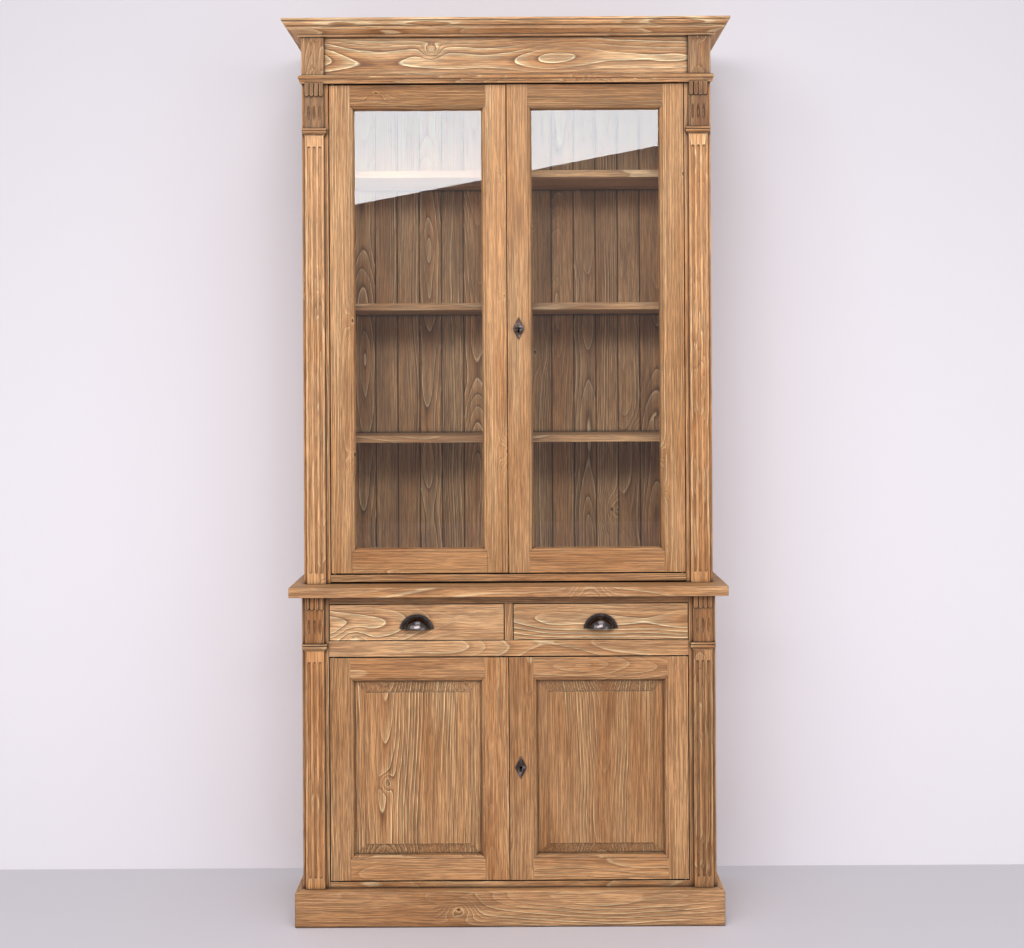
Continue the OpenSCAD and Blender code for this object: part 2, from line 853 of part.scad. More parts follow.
// A moulding with a front run and two returns, mitred at the corners.
// children(0) is the outline out from the front plane, children(1) the one
// out from the sides. in_y and in_x tell how far each seat reaches inward.
module returned(out, in_y, in_x, z0, h) {
  inner = [half_w - in_x, upper_y - pilaster_t + in_y];
  outer = [half_w + out, upper_y - pilaster_t - out];
  intersection() {
    translate([0, 0, z0]) run_x(-outer.x, outer.x)
      translate([upper_y - pilaster_t, 0]) mirror([1, 0]) children(0);
    raised(z0, z0 + h)
      polygon([[hairline - outer.x, outer.y], [outer.x - hairline, outer.y],
               [inner.x - hairline, inner.y], [hairline - inner.x, inner.y]]);
  }
  both_sides() intersection() {
    translate([0, 0, z0]) run_y(outer.y, back_y)
      translate([half_w, 0]) children(1);
    raised(z0, z0 + h)
      polygon([outer, [outer.x, back_y], [inner.x, back_y], inner]);
  }
}

module frieze_moulding() {
  color(pine)
    returned(mould_out, pilaster_t, 0, head_z, mould_h) {
      mould_outline(pilaster_t);
      mould_outline(0);
    }
}

// Cornice outline in (distance out, height), from its seat to its fascia
module cornice_outline(seat) {
  band = cornice_h * cornice_band;
  ovolo_r = cornice_h * cornice_ovolo;
  step = cornice_out * cornice_step;
  ovolo_x = cornice_out - ovolo_r - step;
  ovolo_z = cornice_h - band;
  fillet_z = ovolo_z - ovolo_r - cornice_h * cornice_fillet;
  cove_x = ovolo_x - step;
  difference() {
    union() {
      translate([-seat, 0]) square([seat + band, cornice_h]);
      translate([-seat, ovolo_z]) square([seat + cornice_out, band]);
      translate([-seat, fillet_z])
        square([seat + ovolo_x, ovolo_z - fillet_z]);
      intersection() {
        translate([ovolo_x, ovolo_z]) circle(r = ovolo_r);
        translate([0, ovolo_z - ovolo_r]) square([cornice_out, ovolo_r]);
      }
      polygon([[0, band], [band, band], [cove_x, fillet_z], [0, fillet_z]]);
    }
    translate([cove_x + cornice_h * cornice_cove_out, band])
      circle(r = cornice_h * cornice_cove);
  }
}

module cornice() {
  color(pine)
    returned(cornice_out, pilaster_t + cornice_seat, cornice_seat,
             case_top_z, cornice_h) {
      cornice_outline(pilaster_t + cornice_seat);
      cornice_outline(cornice_seat);
    }
}

// Shelves, their pins and the dowels

module shelf_board(top_z, door_back_y) {
  block([-inner_x + shelf_clear, door_back_y + shelf_set_in, top_z - shelf_t],
        [inner_x - shelf_clear, board_y0 - shelf_clear, top_z]);
}

module shelves() {
  color(pine_dark) {
    for (i = [0 : shelf_n - 1])
      shelf_board(shelf_first_z + i * shelf_step, upper_y + door_t);
    shelf_board(base_shelf_z, base_y + door_t);
  }
}

module shelf_pins() {
  color(steel) both_sides() {
    upper_shelf_pins(0);
    base_shelf_pins(0);
  }
}

module dowels() {
  color(pine) both_sides() dowel_pair(0);
}

// Door pivots. A plate let into the frame carries a collar and a pin, and a
// plate let into the door has the socket. way is 1 where the frame is above
// the door and -1 where it is below. clear grows the part into its own seat.

module plate_at(face_y, z, way, clear) {
  x1 = door_x - plate_edge + clear;
  x0 = x1 - plate_l - 2 * clear;
  y0 = face_y + pivot_y - collar_r + plate_set_back - clear;
  y1 = face_y + pivot_y + collar_r + plate_rear + clear;
  z1 = z + way * (plate_t + clear);
  block([x0, y0, min(z, z1)], [x1, y1, max(z, z1)]);
}

module pivot_rod(face_y, z0, z1, r) {
  translate([door_x - pivot_x, face_y + pivot_y, min(z0, z1)])
    cylinder(r = r, h = abs(z1 - z0));
}

module fixed_pivot(face_y, z, way) {
  plate_at(face_y, z, way, 0);
  pivot_rod(face_y, z, z - way * (door_gap_z - collar_gap), collar_r);
  pivot_rod(face_y, z, z - way * (door_gap_z + pivot_l), pivot_r);
}

module pivot_pins() {
  color(steel) both_sides() {
    fixed_pivot(upper_y, foot_z, -1);
    fixed_pivot(upper_y, head_z, 1);
    fixed_pivot(base_y, base_rail_z, -1);
    fixed_pivot(base_y, mid_z, 1);
  }
}

// The door's plate with its socket, at the door edge whose height is z
module door_plate(face_y, z, way) {
  difference() {
    plate_at(face_y, z, -way, 0);
    pivot_rod(face_y, z + way, z - way * (plate_t + past),
              pivot_r + pivot_clear);
  }
}

// The recess for that plate and the bore for the pin beyond it
module door_plate_seat(face_y, z, way) {
  plate_at(face_y, z, -way, tiny);
  plate_at(face_y, z + way, -way, tiny);
  pivot_rod(face_y, z, z - way * (pivot_l + past), pivot_r + bore_clear);
}

module door_pivots(face_y, z0, h) {
  color(steel) {
    door_plate(face_y, z0, -1);
    door_plate(face_y, z0 + h, 1);
  }
}

// Door frames. A door is drawn on the right-hand side: its hinge edge is at
// x = door_x and its meeting edge at x = meeting_gap / 2. The left door is its
// mirror image.

// Moulded edge in (distance into the opening, depth behind the face)
module stick_outline(full_depth) {
  round_r = stick_w - stick_flat;
  intersection() {
    translate([0, quirk_d + round_r]) circle(r = round_r);
    square([stick_w, lip_d]);
  }
  translate([0, quirk_d + round_r])
    square([stick_w, lip_d - quirk_d - round_r]);
  if (full_depth)
    translate([0, lip_d + panel_tongue_t + 2 * panel_clear])
      square([stick_w, door_t - lip_d - panel_tongue_t - 2 * panel_clear]);
}

// An upright moulded edge at x facing into an opening, way being its side
module upright_stick(x, way, z0, z1, full_depth) {
  intersection() {
    translate([x, 0, 0]) scale([way, 1, 1])
      raised(z0, z1) stick_outline(full_depth);
    run_y(0, door_t)
      polygon([[x, z0], [x, z1], [x + way * stick_w, z1 - stick_w],
               [x + way * stick_w, z0 + stick_w]]);
  }
}

// A level moulded edge at z facing into an opening, way being up or down
module level_stick(z, way, x0, x1, full_depth) {
  intersection() {
    translate([0, 0, z]) scale([1, 1, way])
      run_x(x0, x1) rotate(90) mirror([0, 1]) stick_outline(full_depth);
    run_y(0, door_t)
      polygon([[x0, z], [x1, z], [x1 - stick_w, z + way * stick_w],
               [x0 + stick_w, z + way * stick_w]]);
  }
}

// Stiles, with the moulded edges and the mortises for the rails
module stile_pair(z0, h, lock_w, hinge_w, top_w, bottom_w, full_depth) {
  x0 = meeting_gap / 2;
  in0 = x0 + lock_w;
  in1 = door_x - hinge_w;
  zb = z0 + bottom_w;
  zt = z0 + h - top_w;
  difference() {
    union() {
      block([x0, 0, z0], [in0, door_t, z0 + h]);
      block([in1, 0, z0], [door_x, door_t, z0 + h]);
      upright_stick(in0, 1, zb, zt, full_depth);
      upright_stick(in1, -1, zb, zt, full_depth);
    }
    tenons(in0, in1, z0, zb, zt, z0 + h, tenon_clear);
  }
}

module rail_pair(z0, h, lock_w, hinge_w, top_w, bottom_w, full_depth) {
  in0 = meeting_gap / 2 + lock_w;
  in1 = door_x - hinge_w;
  zb = z0 + bottom_w;
  zt = z0 + h - top_w;
  block([in0, 0, z0], [in1, door_t, zb]);
  block([in0, 0, zt], [in1, door_t, z0 + h]);
  level_stick(zb, 1, in0, in1, full_depth);
  level_stick(zt, -1, in0, in1, full_depth);
  tenons(in0, in1, z0, zb, zt, z0 + h, 0);
}

// The tenons at both ends of both rails, grown by clear
module tenons(in0, in1, z0, zb, zt, z1, clear) {
  for (span = [[z0, zb], [zt, z1]])
    block([in0 - tenon_l - clear, tenon_d - clear,
           span[0] + tenon_shoulder - clear],
          [in1 + tenon_l + clear, tenon_d + tenon_t + clear,
           span[1] - tenon_shoulder + clear]);
}

// Keyhole through a door's meeting stile
module keyhole(z, y0, y1) {
  run_y(y0, y1) translate([keyhole_x, z]) {
    circle(r = keyhole_r);
    translate([-keyhole_slot_w / 2, -keyhole_slot_l])
      square([keyhole_slot_w, keyhole_slot_l]);
  }
}

// Bore and slot for a slide bolt, in the left door's meeting stile
module rod_bore(top_z) {
  translate([-meeting_gap / 2 - rod_x, rod_y, top_z - rod_l - bore_below])
    cylinder(r = rod_r + rod_clear, h = rod_l + bore_below + past);
  block([-meeting_gap / 2 - rod_x - thumb_r - rod_clear, rod_y,
         top_z - rod_l + thumb_up - thumb_r - thumb_play],
        [-meeting_gap / 2 - rod_x + thumb_r + rod_clear, door_t + past,
         top_z - rod_l + thumb_up + thumb_r + rod_travel + thumb_play]);
}

// The hole above a door that its slide bolt enters
module rod_socket(face_y, z) {
  translate([-meeting_gap / 2 - rod_x, face_y + rod_y, z - past])
    cylinder(r = rod_r + bore_clear, h = rod_travel + past);
}

module slide_bolt(face_y, top_z) {
  x = -meeting_gap / 2 - rod_x;
  z = top_z - rod_l + thumb_up;
  knob_y = face_y + door_t + knob_gap;
  color(steel) {
    translate([x, face_y + rod_y, top_z - rod_l])
      cylinder(r = rod_r, h = rod_l - rod_set_back);
    rod_y(x, z, thumb_r, face_y + rod_y, knob_y + past);
    rod_y(x, z, knob_r, knob_y, knob_y + knob_t);
  }
}

// Glazed doors

module glazed_stiles() {
  difference() {
    translate([0, upper_y, 0])
      stile_pair(upper_door_z, upper_door_h, glazed_stile_w, glazed_stile_w,
                 glazed_rail_w, glazed_rail_w, false);
    door_plate_seat(upper_y, upper_door_z, -1);
    door_plate_seat(upper_y, upper_door_z + upper_door_h, 1);
  }
}

module glazed_rails() {
  color(pine) translate([0, upper_y, 0])
    rail_pair(upper_door_z, upper_door_h, glazed_stile_w, glazed_stile_w,
              glazed_rail_w, glazed_rail_w, false);
}

module pane() {
  x0 = meeting_gap / 2 + glazed_stile_w + glass_clear;
  x1 = door_x - glazed_stile_w - glass_clear;
  color([0.85, 0.92, 0.92, 0.35])
    block([x0, upper_y + lip_d, upper_door_z + glazed_rail_w + glass_clear],
          [x1, upper_y + lip_d + glass_t,
           upper_door_z + upper_door_h - glazed_rail_w - glass_clear]);
}

// Four mitred beads behind the glass, two level and two upright
module glazing_beads() {
  x0 = meeting_gap / 2 + glazed_stile_w;
  x1 = door_x - glazed_stile_w;
  z0 = upper_door_z + glazed_rail_w;
  z1 = upper_door_z + upper_door_h - glazed_rail_w;
  color(pine_dark) run_y(upper_y + lip_d + glass_t, upper_y + door_t) {
    for (end = [[z0, 1], [z1, -1]])
      polygon([[x0 + hairline, end[0]], [x1 - hairline, end[0]],
               [x1 - hairline - bead_w, end[0] + end[1] * bead_w],
               [x0 + hairline + bead_w, end[0] + end[1] * bead_w]]);
    for (end = [[x0, 1], [x1, -1]])
      polygon([[end[0], z0], [end[0], z1],
               [end[0] + end[1] * bead_w, z1 - bead_w],
               [end[0] + end[1] * bead_w, z0 + bead_w]]);
  }
}

module upper_left_stiles() {
  color(pine) difference() {
    mirror([1, 0, 0]) glazed_stiles();
    translate([0, upper_y, 0]) rod_bore(upper_door_z + upper_door_h);
  }
}

module upper_right_stiles() {
  color(pine) difference() {
    glazed_stiles();
    keyhole(upper_keyhole_z, upper_y - past, upper_y + door_t + past);
  }
}

module upper_left_rails() {
  mirror([1, 0, 0]) glazed_rails();
}

module upper_right_rails() {
  glazed_rails();
}

module upper_left_glass() {
  mirror([1, 0, 0]) pane();
}

module upper_right_glass() {
  pane();
}

module upper_left_beads() {
  mirror([1, 0, 0]) glazing_beads();
}

module upper_right_beads() {
  glazing_beads();
}

module upper_left_pivots() {
  mirror([1, 0, 0]) door_pivots(upper_y, upper_door_z, upper_door_h);
}

module upper_right_pivots() {
  door_pivots(upper_y, upper_door_z, upper_door_h);
}

module upper_left_slide_bolt() {
  slide_bolt(upper_y, upper_door_z + upper_door_h);
}

// Panel doors

module panel_stiles() {
  difference() {
    translate([0, base_y, 0])
      stile_pair(base_door_z, base_door_h, lock_stile_w, hinge_stile_w,
                 panel_rail_top_w, panel_rail_bottom_w, true);
    door_plate_seat(base_y, base_door_z, -1);
    door_plate_seat(base_y, base_door_z + base_door_h, 1);
  }
}

module panel_rails() {
  color(pine) translate([0, base_y, 0])
    rail_pair(base_door_z, base_door_h, lock_stile_w, hinge_stile_w,
              panel_rail_top_w, panel_rail_bottom_w, true);
}

// Half of a raised panel's section in (distance from its edge, depth)
function panel_edge(length) = [
  [0, lip_d + panel_clear],
  [stick_w - panel_play, lip_d + panel_clear],
  [stick_w - panel_play + bevel_w, field_d + field_step],
  [stick_w - panel_play + bevel_w, field_d],
  [length - stick_w + panel_play - bevel_w, field_d],
  [length - stick_w + panel_play - bevel_w, field_d + field_step],
  [length - stick_w + panel_play, lip_d + panel_clear],
  [length, lip_d + panel_clear],
  [length, lip_d + panel_clear + panel_tongue_t],
  [0, lip_d + panel_clear + panel_tongue_t]
];

module raised_panel() {
  x0 = meeting_gap / 2 + lock_stile_w + panel_play;
  x1 = door_x - hinge_stile_w - panel_play;
  z0 = base_door_z + panel_rail_bottom_w + panel_play;
  z1 = base_door_z + base_door_h - panel_rail_top_w - panel_play;
  color(pine) translate([0, base_y, 0]) intersection() {
    raised(z0, z1) translate([x0, 0]) polygon(panel_edge(x1 - x0));
    run_x(x0, x1) polygon([for (p = panel_edge(z1 - z0)) [p.y, z0 + p.x]]);
  }
}

module base_left_stiles() {
  color(pine) difference() {
    mirror([1, 0, 0]) panel_stiles();
    translate([0, base_y, 0]) rod_bore(base_door_z + base_door_h);
  }
}

module base_right_stiles() {
  color(pine) difference() {
    panel_stiles();
    keyhole(base_keyhole_z, base_y - past, base_y + door_t + past);
  }
}

module base_left_rails() {
  mirror([1, 0, 0]) panel_rails();
}

module base_right_rails() {
  panel_rails();
}

module base_left_panel() {
  mirror([1, 0, 0]) raised_panel();
}

module base_right_panel() {
  raised_panel();
}

module base_left_pivots() {
  mirror([1, 0, 0]) door_pivots(base_y, base_door_z, base_door_h);
}

module base_right_pivots() {
  door_pivots(base_y, base_door_z, base_door_h);
}

module base_left_slide_bolt() {
  slide_bolt(base_y, base_door_z + base_door_h);
}

// Locks

// An open-fronted case on the back of the stile, behind the keyhole
module lock_case(face_y, z) {
  x0 = meeting_gap / 2;
  y0 = face_y + door_t;
  z0 = z - case_h / 2;
  color(steel) difference() {
    block([x0, y0, z0], [x0 + case_w, y0 + case_t, z0 + case_h]);
    block([x0 + case_wall, y0 - past, z0 + case_wall],
          [x0 + case_w - case_wall, y0 + case_t - case_wall,
           z0 + case_h - case_wall]);
    block([x0 - past, y0 - past, z + bolt_up - bolt_clear],
          [x0 + case_wall + past, y0 + 2 * bolt_clear + bolt_t,
           z + bolt_up + bolt_h + bolt_clear]);
    rod_y(keyhole_x, z, key_tip_r + key_clear, y0, y0 + case_t + past);
  }
}

module lock_bolt(face_y, z) {
  x0 = meeting_gap / 2;
  y0 = face_y + door_t + bolt_clear;
  color(steel) block([x0, y0, z + bolt_up],
                     [x0 + bolt_l, y0 + bolt_t, z + bolt_up + bolt_h]);
}

module escutcheon(face_y, z) {
  color(iron) difference() {
    run_y(face_y - escutcheon_t, face_y) translate([keyhole_x, z])
      polygon([[-escutcheon_w / 2, 0], [0, -escutcheon_h / 2],
               [escutcheon_w / 2, 0], [0, escutcheon_h / 2]]);
    keyhole(z, face_y - escutcheon_t - past, face_y + past);
  }
}

module upper_lock_case() {
  lock_case(upper_y, upper_keyhole_z);
}

module base_lock_case() {
  lock_case(base_y, base_keyhole_z);
}

module upper_lock_bolt() {
  lock_bolt(upper_y, upper_keyhole_z);
}

module base_lock_bolt() {
  lock_bolt(base_y, base_keyhole_z);
}

module upper_escutcheon() {
  escutcheon(upper_y, upper_keyhole_z);
}

module base_escutcheon() {
  escutcheon(base_y, base_keyhole_z);
}

// The key in the upper lock, its bow and bit lying level
module key() {
  tip_y = upper_y + door_t + case_t;
  bit_y1 = tip_y - case_wall - bolt_clear;
  bit_y0 = upper_y + door_t + 2 * bolt_clear + bolt_t + bolt_clear;
  bow_y = upper_y - bow_reach - bow_r;
  color(iron) translate([keyhole_x, 0, upper_keyhole_z]) {
    rod_y(0, 0, key_r, bow_y + bow_r - key_in, bit_y1);
    rod_y(0, 0, key_tip_r, bit_y1 - past, tip_y);
    rod_y(0, 0, key_collar_r, bow_y + bow_r - key_in,
          bow_y + bow_r + key_collar_l);
    translate([-bit_l, bit_y0, -bow_t / 2])
      cube([bit_l, bit_y1 - bit_y0, bow_t]);
    translate([0, bow_y, -bow_t / 2]) difference() {
      cylinder(r = bow_r, h = bow_t);
      translate([0, 0, -past])
        cylinder(r = bow_hole_r, h = bow_t + 2 * past);
    }
  }
}

// Drawers, drawn on the right-hand side

module drawer_front() {
  color(pine) difference() {
    block([drawer_x, base_y, drawer_z],
          [drawer_x + drawer_w, base_y + frame_t, drawer_z + drawer_h]);
    for (way = [-1, 1])
      rod_y(drawer_x + drawer_w / 2 + way * stud_x, stud_z,
            stud_r + stud_clear, base_y - past,
            base_y + frame_t + past);
    drawer_bottom(drawer_groove, panel_clear / 2);
  }
}

// The bottom board, let into the front and both sides
module drawer_bottom(front_in, clear) {
  x0 = box_x0 + drawer_side_t - drawer_groove - clear;
  x1 = box_x1 - drawer_side_t + drawer_groove + clear;
  z0 = box_z + drawer_bottom_up - clear;
  block([x0, box_y0 - front_in - clear, z0],
        [x1, box_y1 - drawer_side_t - hairline + clear,
         z0 + drawer_bottom_t + 2 * clear]);
}

module drawer_box() {
  color(pine_dark) {
    difference() {
      for (x = [box_x0, box_x1 - drawer_side_t])
        block([x, box_y0, box_z],
              [x + drawer_side_t, box_y1, box_z + drawer_box_h]);
      drawer_bottom(0, panel_clear / 2);
    }
    block([box_x0 + drawer_side_t + hairline, box_y1 - drawer_side_t, box_z],
          [box_x1 - drawer_side_t - hairline, box_y1, box_z + drawer_box_h]);
    drawer_bottom(drawer_groove, 0);
  }
}

// A cup pull open at the bottom, with an arched flange and two studs
module cup_pull() {
  x = drawer_x + drawer_w / 2;
  dome_r = pull_r - pull_flange_w;
  ball_r = (dome_r * dome_r + pull_out * pull_out) / (2 * pull_out);
  ball_y = base_y - pull_out + ball_r;
  color(iron) intersection() {
    union() {
      difference() {
        union() {
          translate([x, ball_y, pull_mid_z]) sphere(r = ball_r, $fn = 96);
          rod_y(x, pull_mid_z, pull_r, base_y - pull_wall, base_y);
        }
        translate([x, ball_y, pull_mid_z])
          sphere(r = ball_r - pull_wall, $fn = 96);
      }
    }
    block([x - pull_w, base_y - pull_w, pull_z],
          [x + pull_w, base_y, pull_z + pull_w]);
  }
  color(iron) for (way = [-1, 1]) {
    rod_y(x + way * stud_x, stud_z, stud_r, base_y - past,
          base_y + frame_t + nut_t);
    rod_y(x + way * stud_x, stud_z, nut_r, base_y + frame_t,
          base_y + frame_t + nut_t);
  }
}

module drawer_left_front() {
  mirror([1, 0, 0]) drawer_front();
}

module drawer_right_front() {
  drawer_front();
}

module drawer_left_box() {
  mirror([1, 0, 0]) drawer_box();
}

module drawer_right_box() {
  drawer_box();
}

module drawer_left_pull() {
  mirror([1, 0, 0]) cup_pull();
}

module drawer_right_pull() {
  cup_pull();
}

base_sides();
base_posts();
base_pilasters();
base_rails();
drawer_divider();
drawer_runners();
base_floor();
base_back_boards();
plinth();
worktop();
upper_sides();
upper_posts();
upper_pilasters();
upper_foot_rail();
upper_floor();
upper_top();
upper_back_boards();
capitals();
necking_beads();
frieze_board();
frieze_blocks();
frieze_moulding();
cornice();
shelves();
shelf_pins();
dowels();
pivot_pins();
upper_left_stiles();
upper_left_rails();
upper_left_glass();
upper_left_beads();
upper_left_pivots();
upper_left_slide_bolt();
upper_right_stiles();
upper_right_rails();
upper_right_glass();
upper_right_beads();
upper_right_pivots();
upper_lock_case();
upper_escutcheon();
upper_lock_bolt();
key();
base_left_stiles();
base_left_rails();
base_left_panel();
base_left_pivots();
base_left_slide_bolt();
base_right_stiles();
base_right_rails();
base_right_panel();
base_right_pivots();
base_lock_case();
base_escutcheon();
base_lock_bolt();
drawer_left_front();
drawer_left_box();
drawer_left_pull();
drawer_right_front();
drawer_right_box();
drawer_right_pull();
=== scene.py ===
import json
import math
import random

import bpy
from mathutils import Matrix, Vector


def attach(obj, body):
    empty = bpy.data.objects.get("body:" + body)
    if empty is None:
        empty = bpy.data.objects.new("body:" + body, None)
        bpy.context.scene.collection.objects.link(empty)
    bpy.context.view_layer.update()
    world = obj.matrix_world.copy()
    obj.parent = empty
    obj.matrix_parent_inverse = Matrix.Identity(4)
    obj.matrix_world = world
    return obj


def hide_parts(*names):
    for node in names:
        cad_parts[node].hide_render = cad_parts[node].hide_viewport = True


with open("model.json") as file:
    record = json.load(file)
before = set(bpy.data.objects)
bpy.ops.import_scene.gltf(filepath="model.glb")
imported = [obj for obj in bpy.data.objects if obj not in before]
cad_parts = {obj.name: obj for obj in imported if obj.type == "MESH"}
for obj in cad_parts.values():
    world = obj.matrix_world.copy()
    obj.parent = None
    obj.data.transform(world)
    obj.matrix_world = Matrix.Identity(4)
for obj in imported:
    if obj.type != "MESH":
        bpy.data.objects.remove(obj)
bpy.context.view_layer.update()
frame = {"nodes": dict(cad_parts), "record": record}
print("frame loaded,", len(frame["nodes"]), "nodes")


def ink(red, green, blue):
    # an 8-bit screen colour as the linear one that a socket takes
    return tuple((v / 255 / 12.92) if v < 10.3 else ((v / 255 + 0.055) / 1.055) ** 2.4
                 for v in (red, green, blue)) + (1,)


def onlyThis(piece):
    if bpy.context.object and bpy.context.object.mode != "OBJECT":
        bpy.ops.object.mode_set(mode="OBJECT")
    bpy.ops.object.select_all(action="DESELECT")
    piece.select_set(True)
    bpy.context.view_layer.objects.active = piece


# how nodes are laid out in the editor
nodeGrid = {"columns": 12, "wide": 200, "high": 220, "corner": (-1400, 500)}


def put(tree, kind, **settings):
    v = nodeGrid
    node = tree.nodes.new(kind)
    row, column = divmod(len(tree.nodes), v["columns"])
    node.location = (v["corner"][0] + v["wide"] * column, v["corner"][1] - v["high"] * row)
    for name, value in settings.items():
        setattr(node, name, value)
    return node


def feed(tree, socket, value):
    if isinstance(value, bpy.types.NodeSocket):
        tree.links.new(value, socket)
    else:
        socket.default_value = value


def calc(tree, how, *terms):
    node = put(tree, "ShaderNodeMath", operation=how)
    for i, term in enumerate(terms):
        feed(tree, node.inputs[i], term)
    return node.outputs[0]


def vectors(tree, how, *terms):
    node = put(tree, "ShaderNodeVectorMath", operation=how)
    for i, term in enumerate(terms):
        feed(tree, node.inputs[i], term)
    return node.outputs["Value" if how in ("LENGTH", "DOT_PRODUCT") else "Vector"]


def scaled(tree, colour, amount):
    node = put(tree, "ShaderNodeVectorMath", operation="SCALE")
    feed(tree, node.inputs[0], colour)
    feed(tree, node.inputs["Scale"], amount)
    return node.outputs["Vector"]


def span(tree, value, low, high, start=0.0, end=1.0):
    # a smooth step from start to end while value goes from low to high
    node = put(tree, "ShaderNodeMapRange", interpolation_type="SMOOTHSTEP")
    for i, term in enumerate((value, low, high, start, end)):
        feed(tree, node.inputs[i], term)
    return node.outputs["Result"]


def mixed(tree, share, first, second):
    node = put(tree, "ShaderNodeMix", data_type="RGBA")
    feed(tree, node.inputs["Factor"], share)
    feed(tree, node.inputs[6], first)
    feed(tree, node.inputs[7], second)
    return node.outputs[2]


def noise(tree, place, stretch, detail=2.0, wants="Fac"):
    node = put(tree, "ShaderNodeTexNoise")
    feed(tree, node.inputs["Vector"], vectors(tree, "MULTIPLY", place, stretch))
    node.inputs["Scale"].default_value = 1.0
    node.inputs["Detail"].default_value = detail
    return node.outputs[wants]


def relief(tree, shader, height, strength, distance):
    bump = put(tree, "ShaderNodeBump")
    bump.inputs["Strength"].default_value = strength
    bump.inputs["Distance"].default_value = distance
    feed(tree, bump.inputs["Height"], height)
    feed(tree, shader.inputs["Normal"], bump.outputs["Normal"])


def clearWhere(tree, shader, share, tint=(1, 1, 1, 1)):
    clear = put(tree, "ShaderNodeBsdfTransparent")
    clear.inputs["Color"].default_value = tint
    both = put(tree, "ShaderNodeMixShader")
    feed(tree, both.inputs[0], share)
    feed(tree, both.inputs[1], shader.outputs[0])
    feed(tree, both.inputs[2], clear.outputs[0])
    feed(tree, tree.nodes["Material Output"].inputs["Surface"], both.outputs[0])


def openMaterial(name):
    material = bpy.data.materials.new(name)
    material.use_nodes = True
    return material, material.node_tree, material.node_tree.nodes["Principled BSDF"]


def openGroup(name, takes, gives):
    tree = bpy.data.node_groups.new(name, "ShaderNodeTree")
    for label, kind in takes:
        tree.interface.new_socket(name=label, in_out="INPUT", socket_type=kind)
    for label, kind in gives:
        tree.interface.new_socket(name=label, in_out="OUTPUT", socket_type=kind)
    return tree, put(tree, "NodeGroupInput"), put(tree, "NodeGroupOutput")


def useGroup(tree, group, **values):
    node = put(tree, "ShaderNodeGroup")
    node.node_tree = group
    for label, value in values.items():
        feed(tree, node.inputs[label], value)
    return node


# how a board is grown: lengths in metres, stretches as noise scales along, across and through
grainShape = {
    "ringWidth": 0.0062,
    "ringSpread": (55.0, 2.2),                 # how soon the ring width changes, how much
    "ringShiver": (0.30, 0.10),                # small waves added where cut across, everywhere
    "heartDrift": (0.050, 0.130),              # how far the heart wanders across and through
    "knotCell": (0.34, 0.12),                  # one place for a knot in each, along and across
    "knotSquash": 0.7,
    "knotChance": 0.34,
    "knotRadius": (0.0035, 0.0085),
    "knotWobble": 0.006,
    "knotReach": 3.6,                          # rings bend round a knot as far as this, in radii
    "knotPush": 4.5,                           # by so many radii
    "knotCore": (0.62, 0.40), "knotBroken": (0.36, 0.5),
    "rimInner": (0.45, 0.62), "rimOuter": (1.05, 0.85),
    # the pale line: start and full, each as the change where cut across, then the value
    "lineStart": (-0.24, 0.92), "lineFull": (-0.12, 0.95), "lineEnd": (0.99, 0.97),
    "haze": (0.30, 0.95), "hazeShare": 0.28,
    "darkStart": (0.97, 0.995), "darkEnd": (0.26, 0.0),
    "presence": (0.42, 0.56, 0.16, 1.0),       # the figure is weaker in some places
    "fibreSteps": (0.38, 0.62), "poreSteps": (0.60, 0.72), "stainSteps": (0.46, 0.70),
    "heights": (0.6, 0.4),                     # of the line and of the fibres
    "fibres": (((9, 430, 430), 2.0, 0.46),     # stretch, detail and share
               ((26, 1000, 1000), 1.0, 0.36),
               ((3, 150, 150), 2.0, 0.18)),
    "driftStretch": (1.5, 2.2, 2.2),
    "shiverStretch": (9, 60, 60),
    "presenceStretch": (1.3, 11, 11),
    "poreStretch": (34, 520, 520),
    "stainStretch": (3.2, 20, 20),
    "cloudStretch": (2.4, 8, 8),
    "wobbleStretch": (70, 70, 70),
}


